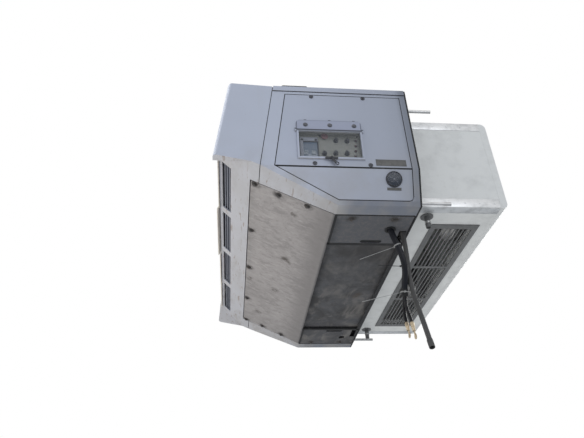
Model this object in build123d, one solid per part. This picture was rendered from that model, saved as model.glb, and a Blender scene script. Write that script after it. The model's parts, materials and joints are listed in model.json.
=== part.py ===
"""Nose-mounted truck refrigeration unit: condensing section in front of an insulated wall,
evaporator section behind it, both carried by one frame bolted to the wall.

Millimetres. X across the vehicle with +X on its left, Y rearwards through the wall, Z up.
Y = 0 is the outer face of the wall, and the origin is the middle of the studs.
"""
from build123d import *
import math
import os

os.makedirs("parts", exist_ok=True)

# Outdoor section, seen along X
UNIT_WIDTH = 1370.0
HALF = UNIT_WIDTH / 2
TOP_Z = 234.0
BELLY_Z = -236.0
BELLY_CREASE_Y = -273.0
CHIN_REAR_Y, CHIN_REAR_Z = -551.0, -102.0
GRILLE_REAR_Y, GRILLE_REAR_Z = -614.0, -63.0
GRILLE_FRONT_Y, GRILLE_FRONT_Z = -647.0, -31.0
NOSE_Y = -663.0
NOSE_BOTTOM_Z = -78.0
NOSE_TOP_Z = 242.0
SPLIT_Y = -505.0
FRONT_LEAN = 0.135
GASKET = 6.0

# Outdoor section, seen along Y
TUCK_Z = -117.0
TUCK_ANGLE = 20.0
SIDE_FRAME_X = HALF - 98.0
PLATE_INNER_X = SIDE_FRAME_X - 184.0

# Sheets, shells and gaps
SHEET = 2.5
COWL_WALL = 4.0
FRAME_PLATE = 6.0
SEAT = 0.3
SEAM = 2.5
PANEL_GAP = 3.0
LEDGE = 11.0
LIP_DEPTH = 21.0

# End panels, as offsets from the split line and the section's edges
PANEL_FRONT_Y = -461.5
PANEL_REAR_Y = -25.0
PANEL_TOP_Z = 200.0
LOWER_FOOT_Y = -271.0
LOWER_FOOT_Z = -221.0
LOWER_CORNER_RADIUS = 16.0

# Grille under the nose
OPENING_COUNT = 4
GRILLE_HALF = SIDE_FRAME_X + 3.0
RIB_WIDTH = 36.0
OPENING_MARGIN = 2.0
SLAT_COUNT = 3
SLAT_DEPTH = 13.0
SLAT_THICK = 3.0
SLAT_SHORT, SLAT_TIE = 4.0, 16.0

# Cowl: radius of its edges, and how the recess round the grille is let in
NOSE_RADIUS = 14.0
COWL_REAR_TOP_Z = TOP_Z - 4.0
RECESS_DROP = 60.0
CHEEK_FLARE, CHEEK_DEPTH = 90.0, 40.0
CHEEK_TOP_Z = GRILLE_FRONT_Z + 10.0
REBATE_DEPTH, REBATE_TOP_Z = 13.0, GRILLE_FRONT_Z + 30.0
REBATE_ROOM = 10.0

# Strips riveted to the grille's front lip, as shares of its half length, and how far each stands out
LIP_STRIPS = [(0.535, 0.997, 3.0), (-0.08, 0.525, 10.0), (-0.55, -0.09, 4.0), (-0.997, -0.56, 2.5)]
LIP_STRIP_HEIGHT, LIP_STRIP_THICK, LIP_STRIP_DROP = 26.0, 2.5, 6.0

# Control window in the left end panel
WINDOW_REAR_Y, WINDOW_FRONT_Y = -186.0, -393.5
WINDOW_BOTTOM_Z, WINDOW_TOP_Z = -81.0, 34.0
COVER_BORDER, COVER_HEAD = 6.5, 4.0
COVER_THICK = 6.0
STRIP_HEIGHT = 42.5
CONTROL_DEPTH = 24.0
CONTROL_WALL = 2.0
TRAY_DEPTH, TRAY_MARGIN = 90.0, 4.0
INSTRUMENT_THICK = 3.0
HINGE_RADIUS = 3.0

# Condenser coil and the arms that hold it
COIL_Y = -560.0
COIL_THICK = 40.0
COIL_BOTTOM_Z, COIL_TOP_Z = -66.0, 205.0
HEADER_PLATE = 3.0
NOSE_ARM_Y, NOSE_ARM_Z = -585.0, -50.0

# Fans: each has blades on a hub, a ring round them, a motor on arms, and a guard
CONDENSER_FAN_DIAMETER = 400.0
CONDENSER_FAN_Y = -250.0
CONDENSER_BLADES, CONDENSER_CHORD = 6, 96.0
CONDENSER_HUB_RADIUS, CONDENSER_HUB_HEIGHT = 62.0, 34.0
CONDENSER_MOTOR_RADIUS, CONDENSER_MOTOR_HEIGHT = 52.0, 60.0
CONDENSER_TOP_GAP = 12.0
EVAPORATOR_FAN_DIAMETER = 254.0
EVAPORATOR_FAN_X = HALF - 395.0
EVAPORATOR_BLADES, EVAPORATOR_CHORD = 5, 78.0
EVAPORATOR_HUB_RADIUS, EVAPORATOR_HUB_HEIGHT = 40.0, 26.0
EVAPORATOR_MOTOR_RADIUS, EVAPORATOR_MOTOR_HEIGHT = 36.0, 46.0
EVAPORATOR_BACK_GAP = 12.0
CONDENSER_TIP_GAP, EVAPORATOR_TIP_GAP = 8.0, 6.0
RING_WALL = 4.0
RUN_GAP = 6.0
SHAFT_RADIUS, SHAFT_GAP = 8.0, 0.4
SHAFT_SHORT = 8.0
BLADE_THICK, BLADE_CAMBER, BLADE_PITCH = 3.0, 0.1, 32.0
BLADE_ROOT_SHARE, BLADE_SINK_SHARE = 0.7, 0.8
HUB_CAP = 6.0
ARM_WIDTH, ARM_THICK = 14.0, 6.0
GUARD_THICK, GUARD_WIRE, GUARD_RIM, GUARD_LAP = 3.0, 4.0, 14.0, 4.0
CONDENSER_WIRES, EVAPORATOR_WIRES = 15, 11
CONDENSER_ARMS, EVAPORATOR_ARMS = 4, 3

# Engine and compressor, on the cradle rails
ENGINE_X, ENGINE_Y = -245.0, -180.0
ENGINE_LENGTH, ENGINE_WIDTH, ENGINE_HEIGHT = 370.0, 240.0, 245.0
COMPRESSOR_X, COMPRESSOR_Y = 170.0, -180.0
COMPRESSOR_LENGTH, COMPRESSOR_RADIUS = 260.0, 85.0
FOOT_LENGTH, FOOT_WIDTH, FOOT_HEIGHT = 220.0, 150.0, 25.0

# Evaporator section behind the wall
EVAPORATOR_HALF = SIDE_FRAME_X - 12.0
EVAPORATOR_TOP_Z, EVAPORATOR_BOTTOM_Z = 190.0, -190.0
EVAPORATOR_DEPTH = 330.0
EVAPORATOR_WALL = 25.0
EVAPORATOR_EDGE_RADIUS = 20.0
EVAPORATOR_COIL_Y = (60.0, 100.0)
RETURN_HALF = EVAPORATOR_HALF - 125.0
RETURN_FRONT_Y, RETURN_REAR_Y = 110.0, 250.0
RETURN_FRAME, RETURN_COLUMNS, RETURN_BARS = 18.0, 3, 9
RETURN_THICK, RETURN_BAR_WIDTH, RETURN_POST_WIDTH = 3.0, 4.0, 16.0
SPOUT_X, SPOUT_Y = EVAPORATOR_HALF - 60.0, 60.0
SPOUT_RADIUS, SPOUT_LENGTH, SPOUT_WALL = 9.5, 45.0, 2.0
FLANGE_RADIUS, FLANGE_THICK = 22.0, 4.0

# Mounting studs through the wall: headed bolts in the frame's ears
STUD_X, STUD_Z = SIDE_FRAME_X + 28.0, 205.0
STUD_RADIUS, STUD_REACH = 6.0, 110.0
STUD_HEAD_RADIUS, STUD_HEAD_HEIGHT = 11.0, 8.0
STUD_NECK_RADIUS, STUD_NECK_END = 5.4, 1.0
STUD_HOLE_RADIUS = 7.5
GASKET_HOLE_RADIUS = 18.0
EAR_REACH, EAR_EDGE = 25.0, 12.0

# Side frames, rails and belly panels
SIDE_FRAME_INSET = SHEET + SEAT
SIDE_WEB = 34.0
RAIL = 22.0
TOP_RAIL_Y = -500.0
CRADLE_RAILS_Y, CRADLE_RAIL_WIDTH = (-100.0, -260.0), 30.0
WALL_CUT_MARGIN = 30.0
BELLY_STEP = 12.0
NOTCH_X, NOTCH_Y = PLATE_INNER_X + 90.0, -36.0
DRAIN_SLOT_X, DRAIN_SLOT_Y = PLATE_INNER_X + 16.0, -122.0
DRAIN_SLOT_LENGTH, DRAIN_SLOT_WIDTH = 78.0, 20.0

# Small controls on the instrument plate, each as y, z, radius, height
KNOBS = [(-265.0, 11.5, 8.5, 15.0), (-226.5, 11.0, 8.5, 15.0), (-307.0, -45.5, 8.5, 15.0),
         (-269.5, -43.5, 8.5, 15.0), (-231.5, -43.5, 8.5, 15.0), (-303.0, 27.0, 7.5, 8.0)]
LAMPS = [(-196.5, 13.5, 4.0, 4.0), (-198.5, -8.5, 4.0, 4.0),
         (-200.5, -31.0, 4.0, 4.0), (-203.0, -52.5, 4.0, 4.0)]
METER_Y, METER_Z, METER_DEPTH = (-388.0, -326.0), (-66.0, 22.0), 10.0
METER_WINDOW_Y, METER_WINDOW_Z, METER_WINDOW_DEPTH = (-383.0, -331.0), (-61.0, -1.0), 3.0

# Cover of the control window: its hinge, its latch with a key, and the ears that carry it
PIN_RADIUS, PIN_GAP = 1.5, 0.1
EAR_WIDTH, EAR_GAP = 5.0, 0.6
STRIP_THICK, STRIP_CORNER, STRIP_GAP, STRIP_SHOULDER = 4.0, 12.0, 0.6, 7.0
PANE_BACK, PANE_THICK = 1.0, 3.0
LATCH_Y, LATCH_LENGTH, LATCH_HEIGHT, LATCH_THICK = -292.0, 40.0, 8.0, 6.0
BARREL_RADIUS, BARREL_LENGTH = 5.0, 9.0
KEY_WIDTH, KEY_HEIGHT, KEY_LENGTH = 3.0, 16.0, 8.0

# Round gauge on the left lower panel, placed down the tucked-in face from the crease
GAUGE_Y, GAUGE_DROP = -89.0, 37.0
GAUGE_RADIUS, GAUGE_PROUD = 27.0, 7.0
GAUGE_RIM, GAUGE_DISH = 4.0, 2.0

# Lifting plates on the top cover
LIFT_X, LIFT_Y = HALF - 16.0, -398.0
LIFT_LENGTH, LIFT_WIDTH, LIFT_THICK = 96.0, 36.0, 5.0
LIFT_HOLE_RADIUS, LIFT_CORNER = 7.0, 6.0

# Cables and drain that leave under the left end
HOSE_EXIT = (SIDE_FRAME_X - 86.0, -72.0)
SLEEVE_DIAMETER, CABLE_DIAMETER, DRAIN_DIAMETER = 21.0, 11.0, 16.0
RUN_SHARE = 0.45
BOOT_LENGTH, BOOT_WALL = 16.0, 2.0
CUFF_LENGTH, CUFF_WALL = 24.0, 1.5
GROMMET_WALL, GROMMET_LIP, GROMMET_FLANGE, GROMMET_ROOM = 4.0, 3.0, 5.0, 2.0
LUG_BARREL, LUG_CENTRE, LUG_THICK = 20.0, 30.0, 3.0
LUG_LENGTH, LUG_WIDTH, LUG_HOLE, LUG_HOLE_RADIUS = 36.0, 18.0, 9.0, 4.2

# How far cutting shapes run past what they cut
CUT = 20.0

COVER_TOP_Z = TOP_Z - SHEET - SEAT
REAR_MARGIN, FRONT_MARGIN = 40.0, 60.0
SLOPE = (CHIN_REAR_Z - BELLY_Z) / (BELLY_CREASE_Y - CHIN_REAR_Y)
TUCK_IN = (TUCK_Z - BELLY_Z) * math.tan(math.radians(TUCK_ANGLE))
FOOT_X = HALF - TUCK_IN


# Helpers for outlines and solids

def leaned(y_at_zero, z):
    """Y at height z of a line that leans back as the front does."""
    return y_at_zero + z * FRONT_LEAN


def slope_z(y):
    """Height of the sloping underside at y."""
    return BELLY_Z + (BELLY_CREASE_Y - y) * SLOPE


def inset(outline, depth):
    """A closed outline, anticlockwise, moved inwards by depth with sharp corners."""
    moved = []
    for index, (bx, by) in enumerate(outline):
        ax, ay = outline[index - 1]
        cx, cy = outline[(index + 1) % len(outline)]
        first = math.atan2(by - ay, bx - ax)
        turn = math.remainder(math.atan2(cy - by, cx - bx) - first, 2 * math.pi) / 2
        reach = depth / math.cos(turn)
        heading = first + turn + math.pi / 2
        moved.append((bx + reach * math.cos(heading), by + reach * math.sin(heading)))
    return moved


def prism_x(outline, x_from, x_to):
    """Solid of an outline of (y, z) points between two x planes."""
    face = make_face(Polyline([(x_from, y, z) for y, z in outline], close=True))
    return extrude(face, amount=x_to - x_from, dir=(1, 0, 0))


def prism_y(outline, y_from, y_to):
    """Solid of an outline of (x, z) points between two y planes."""
    face = make_face(Polyline([(x, y_from, z) for x, z in outline], close=True))
    return extrude(face, amount=y_to - y_from, dir=(0, 1, 0))


def block(x_from, x_to, y_from, y_to, z_from, z_to):
    """Box between three pairs of planes."""
    middle = ((x_from + x_to) / 2, (y_from + y_to) / 2, (z_from + z_to) / 2)
    return Pos(*middle) * Box(x_to - x_from, y_to - y_from, z_to - z_from)


def cylinder_y(x, z, y_from, y_to, radius):
    """Cylinder along Y."""
    return extrude(Plane((x, y_from, z), z_dir=(0, 1, 0)) * Circle(radius), amount=y_to - y_from)


def cylinder_z(x, y, z_from, z_to, radius):
    """Cylinder along Z."""
    return extrude(Plane((x, y, z_from)) * Circle(radius), amount=z_to - z_from)


def cylinder_x(y, z, x_from, x_to, radius):
    """Cylinder along X."""
    return extrude(Plane((x_from, y, z), z_dir=(1, 0, 0)) * Circle(radius), amount=x_to - x_from)


def mirrored(shape):
    """The same piece on the other end."""
    return mirror(shape, about=Plane.YZ)


def save(name, shape):
    """Write one sub-part."""
    export_step(shape, f"parts/{name}.step")


# Outer form of the condensing section

SECTION = [(-HALF, COVER_TOP_Z), (-HALF, TUCK_Z), (-FOOT_X, BELLY_Z),
           (FOOT_X, BELLY_Z), (HALF, TUCK_Z), (HALF, COVER_TOP_Z)]
PROFILE = [(REAR_MARGIN, COVER_TOP_Z), (SPLIT_Y - FRONT_MARGIN, COVER_TOP_Z),
           (SPLIT_Y - FRONT_MARGIN, slope_z(SPLIT_Y - FRONT_MARGIN)),
           (BELLY_CREASE_Y, BELLY_Z), (REAR_MARGIN, BELLY_Z)]


def body_solid(depth):
    """The section's outer form behind the split line, moved inwards by depth."""
    across = prism_y(inset(SECTION, depth), SPLIT_Y - FRONT_MARGIN, REAR_MARGIN)
    along = prism_x(inset(PROFILE, depth), -HALF, HALF)
    return across & along


def behind_split(gap):
    """Everything from gap behind the split line back to the wall gasket."""
    top, bottom = TOP_Z + CUT, BELLY_Z - CUT
    outline = [(-GASKET, top), (leaned(SPLIT_Y, top) + gap, top),
               (leaned(SPLIT_Y, bottom) + gap, bottom), (-GASKET, bottom)]
    return prism_x(outline, -HALF - CUT, HALF + CUT)


OUTER = body_solid(0)
SKIN = OUTER - body_solid(SHEET)
LEDGE_SKIN = body_solid(SHEET) - body_solid(2 * SHEET)

# Outlines of the two panels in each end, as (y, z)
UPPER_PANEL = [(PANEL_REAR_Y, PANEL_TOP_Z), (leaned(PANEL_FRONT_Y, PANEL_TOP_Z), PANEL_TOP_Z),
               (leaned(PANEL_FRONT_Y, TUCK_Z), TUCK_Z), (PANEL_REAR_Y, TUCK_Z)]
LOWER_PANEL = [(PANEL_REAR_Y, TUCK_Z), (leaned(PANEL_FRONT_Y, TUCK_Z), TUCK_Z),
               (LOWER_FOOT_Y, LOWER_FOOT_Z), (PANEL_REAR_Y, LOWER_FOOT_Z)]
PANEL_OPENING = UPPER_PANEL[:3] + LOWER_PANEL[2:]
WINDOW = [(WINDOW_REAR_Y, WINDOW_TOP_Z), (WINDOW_FRONT_Y, WINDOW_TOP_Z),
          (WINDOW_FRONT_Y, WINDOW_BOTTOM_Z), (WINDOW_REAR_Y, WINDOW_BOTTOM_Z)]


def through_end(outline, margin):
    """Prism of a panel's outline through the left end skin, its rear lower corner rounded."""
    prism = prism_x(inset(outline, margin), SIDE_FRAME_X, HALF + CUT)
    if outline is UPPER_PANEL:
        return prism
    corner = prism.edges().filter_by(Axis.X).sort_by(lambda e: e.center().Z - e.center().Y)[0]
    return fillet(corner, LOWER_CORNER_RADIUS - margin)


def end_cover():
    """Folded sheet round the left end, with an opening and a ledge for its panels."""
    outside = block(SIDE_FRAME_X, HALF + CUT, -HALF, 0, BELLY_Z - CUT, TOP_Z)
    cover = SKIN & outside & behind_split(0)
    cover -= through_end(PANEL_OPENING, 0)
    ledge = LEDGE_SKIN & through_end(PANEL_OPENING, -LEDGE)
    ledge -= through_end(PANEL_OPENING, LEDGE)
    return cover + ledge


def upper_panel():
    """Lift-off service panel of the left end, plain."""
    return SKIN & through_end(UPPER_PANEL, PANEL_GAP)


def lower_panel():
    """Tucked-in panel under the crease."""
    return SKIN & through_end(LOWER_PANEL, PANEL_GAP)


# Front cowl

COWL_PROFILE = [(leaned(SPLIT_Y, TOP_Z) + FRONT_MARGIN, COWL_REAR_TOP_Z),
                (leaned(NOSE_Y, NOSE_TOP_Z), NOSE_TOP_Z),
                (leaned(NOSE_Y, NOSE_BOTTOM_Z), NOSE_BOTTOM_Z),
                (CHIN_REAR_Y, CHIN_REAR_Z),
                (leaned(SPLIT_Y, CHIN_REAR_Z) + FRONT_MARGIN,
                 slope_z(leaned(SPLIT_Y, CHIN_REAR_Z) + FRONT_MARGIN))]
RECESS = [(CHIN_REAR_Y + 2, CHIN_REAR_Z - RECESS_DROP), (CHIN_REAR_Y, CHIN_REAR_Z),
          (GRILLE_REAR_Y, GRILLE_REAR_Z), (GRILLE_FRONT_Y, GRILLE_FRONT_Z),
          (leaned(NOSE_Y + REBATE_DEPTH, GRILLE_FRONT_Z), GRILLE_FRONT_Z),
          (leaned(NOSE_Y + REBATE_DEPTH, REBATE_TOP_Z), REBATE_TOP_Z),
          (NOSE_Y - CHEEK_DEPTH, REBATE_TOP_Z), (NOSE_Y - CHEEK_DEPTH, CHIN_REAR_Z - RECESS_DROP)]
RECESS_ENDS = [(-GRILLE_HALF - CHEEK_FLARE, CHIN_REAR_Z), (GRILLE_HALF + CHEEK_FLARE, CHIN_REAR_Z),
               (GRILLE_HALF, CHEEK_TOP_Z), (GRILLE_HALF, REBATE_TOP_Z + REBATE_ROOM),
               (-GRILLE_HALF, REBATE_TOP_Z + REBATE_ROOM), (-GRILLE_HALF, CHEEK_TOP_Z)]


def grille_plane(along_x, up_slope, inward):
    """Point in the grille's plane: across, from its rear edge forwards, and into the cowl."""
    run_y, run_z = GRILLE_FRONT_Y - GRILLE_REAR_Y, GRILLE_FRONT_Z - GRILLE_REAR_Z
    length = math.hypot(run_y, run_z)
    run_y, run_z = run_y / length, run_z / length
    return (along_x, GRILLE_REAR_Y + up_slope * run_y + inward * run_z,
            GRILLE_REAR_Z + up_slope * run_z - inward * run_y)


GRILLE_RUN = math.hypot(GRILLE_FRONT_Y - GRILLE_REAR_Y, GRILLE_FRONT_Z - GRILLE_REAR_Z)
OPENING_LENGTH = (2 * GRILLE_HALF - (OPENING_COUNT - 1) * RIB_WIDTH) / OPENING_COUNT


def grille_bar(x_from, x_to, run_from, run_to, in_from, in_to):
    """Bar whose section is square to the grille's plane."""
    corners = [grille_plane(x_from, run, depth) for run, depth in
               ((run_from, in_from), (run_to, in_from), (run_to, in_to), (run_from, in_to))]
    return extrude(make_face(Polyline(corners, close=True)), amount=x_to - x_from, dir=(1, 0, 0))


def cowl_body(depth):
    """The cowl's form moved inwards by depth, with its chin and grille let in."""
    width = HALF - depth
    body = prism_x(inset(COWL_PROFILE, depth), -width, width)
    if depth == 0:
        front = body.edges().filter_by(lambda e: e.center().Y < CHIN_REAR_Y)
        rounded = front.filter_by(Axis.X).sort_by(Axis.Z)[-1:]
        rounded += front.filter_by(lambda e: abs(e.center().X) > HALF - 1 and e.center().Z > 0)
        body = fillet(rounded, NOSE_RADIUS)
    return body - (prism_x(inset(RECESS, -depth), -HALF - CUT, HALF + CUT)
                   & prism_y(inset(RECESS_ENDS, -depth), NOSE_Y - CHEEK_DEPTH - CUT, SPLIT_Y))


def front_cowl():
    """Moulded nose: hollow, open behind, with the four air openings under it."""
    shell = cowl_body(0) - cowl_body(COWL_WALL)
    shell -= behind_split(-SEAM)
    shell -= block(-SIDE_FRAME_X, SIDE_FRAME_X, CHIN_REAR_Y, SPLIT_Y,
                   CHIN_REAR_Z - RECESS_DROP, CHIN_REAR_Z + RECESS_DROP)
    for index in range(OPENING_COUNT):
        start = -GRILLE_HALF + index * (OPENING_LENGTH + RIB_WIDTH)
        shell -= grille_bar(start, start + OPENING_LENGTH, OPENING_MARGIN,
                            GRILLE_RUN - OPENING_MARGIN, -3 * COWL_WALL, 3 * COWL_WALL)
    return shell


def grille_slats():
    """Three long slats behind the ribs, held by a cross bar at each rib."""
    ladder = None
    inner = COWL_WALL + SEAT
    pitch = GRILLE_RUN / (SLAT_COUNT + 1)
    for row in range(SLAT_COUNT):
        run = pitch * (row + 1) - SLAT_THICK / 2
        slat = grille_bar(-GRILLE_HALF + SLAT_SHORT, GRILLE_HALF - SLAT_SHORT, run, run + SLAT_THICK,
                          inner, inner + SLAT_DEPTH)
        ladder = slat if ladder is None else ladder + slat
    for index in range(1, OPENING_COUNT):
        middle = -GRILLE_HALF + index * (OPENING_LENGTH + RIB_WIDTH) - RIB_WIDTH / 2
        ladder += grille_bar(middle - SLAT_TIE / 2, middle + SLAT_TIE / 2, pitch / 2,
                             GRILLE_RUN - pitch / 2, inner, inner + SLAT_DEPTH / 2)
    return ladder


def front_lip_strips():
    """Edging strips in the front face's rebate, over the grille; one is bent out and stands proud."""
    strips = []
    for share_from, share_to, proud in LIP_STRIPS:
        low, high = GRILLE_FRONT_Z - LIP_STRIP_DROP, GRILLE_FRONT_Z + LIP_STRIP_HEIGHT
        face = NOSE_Y + REBATE_DEPTH - SEAT
        top, foot = leaned(face, high), leaned(face, low) - proud
        outline = [(top, high), (top - LIP_STRIP_THICK, high), (foot - LIP_STRIP_THICK, low), (foot, low)]
        strips.append(prism_x(outline, share_from * GRILLE_HALF, share_to * GRILLE_HALF))
    return Compound(strips)


# Cover, belly and frame

def top_cover():
    """Flat pan on top with folded lips outside the end covers and the fan's outlet."""
    lip_x = HALF + SEAT + SHEET
    pan = block(-lip_x, lip_x, -HALF, 0, COVER_TOP_Z + SEAT, TOP_Z)
    for side in (1, -1):
        inner, outer = sorted((side * (HALF + SEAT), side * lip_x))
        pan += block(inner, outer, -HALF, 0, TOP_Z - LIP_DEPTH, TOP_Z)
    pan &= behind_split(0)
    return pan - cylinder_z(0, CONDENSER_FAN_Y, 0, 2 * TOP_Z, FAN_BORE)


def belly_slope_panel():
    """Sloping underside between the side frames."""
    front, rear = CHIN_REAR_Y + PANEL_GAP, BELLY_CREASE_Y - 1
    rise = SHEET / math.cos(math.atan(SLOPE))
    outline = [(rear, slope_z(rear) + rise), (front, slope_z(front) + rise),
               (front, slope_z(front)), (rear, slope_z(rear))]
    return prism_x(outline, -SIDE_FRAME_X + PANEL_GAP, SIDE_FRAME_X - PANEL_GAP)


def belly_rear_panel():
    """Level underside at the rear, between the two end plates, with folded edges."""
    width = PLATE_INNER_X - PANEL_GAP
    low = BELLY_Z + BELLY_STEP
    rear = -GASKET - FRAME_PLATE - SEAT
    return block(-width, width, BELLY_CREASE_Y, rear, low, low + SHEET)


def belly_plate():
    """Plate beside the left end cover, with the cable hole, a drain slot and a corner notch."""
    plate = block(PLATE_INNER_X, SIDE_FRAME_X - PANEL_GAP, BELLY_CREASE_Y, -GASKET - PANEL_GAP,
                  BELLY_Z, BELLY_Z + SHEET)
    plate -= block(PLATE_INNER_X, NOTCH_X, NOTCH_Y, 0, BELLY_Z - CUT, BELLY_Z + CUT)
    plate -= cylinder_z(*HOSE_EXIT, BELLY_Z - CUT, BELLY_Z + CUT, SLEEVE_DIAMETER / 2 + GROMMET_WALL)
    slot = SlotOverall(DRAIN_SLOT_LENGTH, DRAIN_SLOT_WIDTH, rotation=90)
    return plate - extrude(Pos(DRAIN_SLOT_X, DRAIN_SLOT_Y, BELLY_Z) * slot, amount=CUT, both=True)


SIDE_PROFILE = [(-GASKET, COVER_TOP_Z), (leaned(NOSE_ARM_Y, COVER_TOP_Z), COVER_TOP_Z),
                (leaned(NOSE_ARM_Y, NOSE_ARM_Z), NOSE_ARM_Z),
                (CHIN_REAR_Y + 6, slope_z(CHIN_REAR_Y + 6)),
                (BELLY_CREASE_Y, BELLY_Z), (-GASKET, BELLY_Z)]


def side_frame():
    """Pressed frame plate inside the left end, with its middle cut away."""
    x_from, x_to = SIDE_FRAME_X - FRAME_PLATE, SIDE_FRAME_X
    inner = inset(SIDE_PROFILE, SIDE_FRAME_INSET)
    plate = prism_x(inner, x_from, x_to)
    return plate - prism_x(inset(inner, SIDE_WEB), x_from - CUT, x_to + CUT)


STUD_PLACES = [(x, z) for x in (-STUD_X, STUD_X) for z in (-STUD_Z, STUD_Z)]
CRADLE_TOP_Z = BELLY_Z + 2 * SHEET + BELLY_STEP + RAIL
RAIL_TOP_Z = COVER_TOP_Z - SIDE_FRAME_INSET
RAIL_HALF = SIDE_FRAME_X - FRAME_PLATE / 2


def mounting_frame():
    """Rear plate with ears for the studs, two side frames and the rails that join them."""
    front, rear = -GASKET - FRAME_PLATE, -GASKET
    plate = block(-SIDE_FRAME_X, SIDE_FRAME_X, front, rear, BELLY_Z + SIDE_FRAME_INSET, RAIL_TOP_Z)
    ears = block(-STUD_X - EAR_REACH, STUD_X + EAR_REACH, front, rear,
                 -STUD_Z - EAR_EDGE, STUD_Z + EAR_EDGE)
    reach = EVAPORATOR_HALF - WALL_CUT_MARGIN
    opening = block(-reach, reach, front - CUT, rear + CUT,
                    EVAPORATOR_BOTTOM_Z + WALL_CUT_MARGIN, EVAPORATOR_TOP_Z - WALL_CUT_MARGIN)
    frame = plate + ears - opening
    frame += side_frame() + mirrored(side_frame())
    for y_front in CRADLE_RAILS_Y:
        frame += block(-RAIL_HALF, RAIL_HALF, y_front, y_front + CRADLE_RAIL_WIDTH,
                       CRADLE_TOP_Z - RAIL, CRADLE_TOP_Z)
    frame += block(-RAIL_HALF, RAIL_HALF, TOP_RAIL_Y, TOP_RAIL_Y + RAIL, RAIL_TOP_Z - RAIL, RAIL_TOP_Z)
    for x, z in STUD_PLACES:
        frame -= cylinder_y(x, z, front - GASKET, rear + GASKET, STUD_HOLE_RADIUS)
    return frame


def wall_studs():
    """Four headed studs through the frame's ears and the wall, necked inside the ears."""
    front = -GASKET - FRAME_PLATE - SEAT
    studs = []
    for x, z in STUD_PLACES:
        stud = cylinder_y(x, z, front - STUD_HEAD_HEIGHT, front, STUD_HEAD_RADIUS)
        stud += cylinder_y(x, z, front - STUD_HEAD_HEIGHT / 2, STUD_REACH, STUD_NECK_RADIUS)
        studs.append(stud + cylinder_y(x, z, STUD_NECK_END - GASKET, STUD_REACH, STUD_RADIUS))
    return Compound(studs)


def bulkhead_gasket():
    """Rubber sheet between the unit and the wall, as wide as the covers' rear edges."""
    sheet = prism_y([(-HALF, TOP_Z - LIP_DEPTH)] + SECTION[1:5] + [(HALF, TOP_Z - LIP_DEPTH)],
                    -GASKET, 0)
    sheet += block(-HALF, HALF, -GASKET, 0, TOP_Z - LIP_DEPTH, TOP_Z)
    room = EVAPORATOR_HALF + SEAT
    sheet -= block(-room, room, -CUT, CUT, EVAPORATOR_BOTTOM_Z - SEAT, EVAPORATOR_TOP_Z + SEAT)
    for x, z in STUD_PLACES:
        sheet -= cylinder_y(x, z, -CUT, CUT, GASKET_HOLE_RADIUS)
    return sheet


# Fans

FAN_BORE = CONDENSER_FAN_DIAMETER / 2 + CONDENSER_TIP_GAP
EVAPORATOR_BORE = EVAPORATOR_FAN_DIAMETER / 2 + EVAPORATOR_TIP_GAP


def upright(radius, height):
    """Cylinder standing on the origin."""
    return Cylinder(radius, height, align=(Align.CENTER, Align.CENTER, Align.MIN))


def blade_section(radius, chord, height):
    """Cambered section of a blade, square to its radius."""
    rise = chord * BLADE_CAMBER
    upper = [(-chord / 2, 0), (-chord / 6, rise), (chord / 6, rise), (chord / 2, 0)]
    lower = [(along, up - BLADE_THICK) for along, up in reversed(upper)]
    plane = Plane((radius, 0, height), x_dir=(0, 1, 0), z_dir=(1, 0, 0))
    return plane * Rot(0, 0, BLADE_PITCH) * make_face(Polyline(upper + lower, close=True))


def fan_rotor(diameter, hub_radius, hub_height, blade_count, chord):
    """Axial rotor about Z from its hub's lower face: cambered blades on a hollow hub."""
    rotor = upright(hub_radius, hub_height)
    rotor -= upright(SHAFT_RADIUS + SHAFT_GAP, hub_height - HUB_CAP)
    half_width = chord / 2 * math.cos(math.radians(BLADE_PITCH))
    tip = math.sqrt((diameter / 2) ** 2 - half_width ** 2)
    root = hub_radius * BLADE_SINK_SHARE
    blade = loft([blade_section(root, chord * BLADE_ROOT_SHARE, hub_height / 2),
                  blade_section(tip, chord, hub_height / 2)], ruled=True)
    blade -= upright(root, hub_height)
    for index in range(blade_count):
        rotor += Rot(0, 0, 360 * index / blade_count) * blade
    return rotor


def fan_guard(radius, wire_count):
    """Flat guard about Z: a rim, parallel wires across it and two wires that tie them."""
    guard = Cylinder(radius + GUARD_RIM, GUARD_THICK) - Cylinder(radius - GUARD_LAP / 2, GUARD_THICK)
    pitch = 2 * radius / (wire_count + 1)
    for index in range(wire_count):
        across = -radius + (index + 1) * pitch
        length = 2 * math.sqrt((radius + GUARD_LAP) ** 2 - across ** 2)
        guard += Pos(across, 0, 0) * Box(GUARD_WIRE, length, GUARD_THICK)
    for side in (-radius / 3, radius / 3):
        length = 2 * math.sqrt((radius + GUARD_LAP) ** 2 - side ** 2)
        guard += Pos(0, side, 0) * Box(length, GUARD_WIRE, GUARD_THICK)
    return guard


def fan_ring(bore_radius, height):
    """Ring round a fan, standing on the origin."""
    return upright(bore_radius + RING_WALL, height) - upright(bore_radius, height)


def fan_motor(bore_radius, motor_radius, motor_height, shaft_height, arm_count):
    """Motor standing on the origin, with its shaft and the arms out to the ring."""
    motor = upright(motor_radius, motor_height) + upright(SHAFT_RADIUS, shaft_height)
    reach = bore_radius - SEAT
    for index in range(arm_count):
        arm = Pos(reach / 2, 0, motor_height / 2) * Box(reach, ARM_WIDTH, ARM_THICK)
        motor += Rot(0, 0, 360 * (index + 0.5) / arm_count) * arm
    return motor


CONDENSER_ROTOR_Z = COVER_TOP_Z - CONDENSER_HUB_HEIGHT - CONDENSER_TOP_GAP
CONDENSER_MOTOR_Z = CONDENSER_ROTOR_Z - RUN_GAP - CONDENSER_MOTOR_HEIGHT


def condenser_fan():
    """Outlet fan under the top cover."""
    rotor = fan_rotor(CONDENSER_FAN_DIAMETER, CONDENSER_HUB_RADIUS, CONDENSER_HUB_HEIGHT,
                      CONDENSER_BLADES, CONDENSER_CHORD)
    return Pos(0, CONDENSER_FAN_Y, CONDENSER_ROTOR_Z) * rotor


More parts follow.
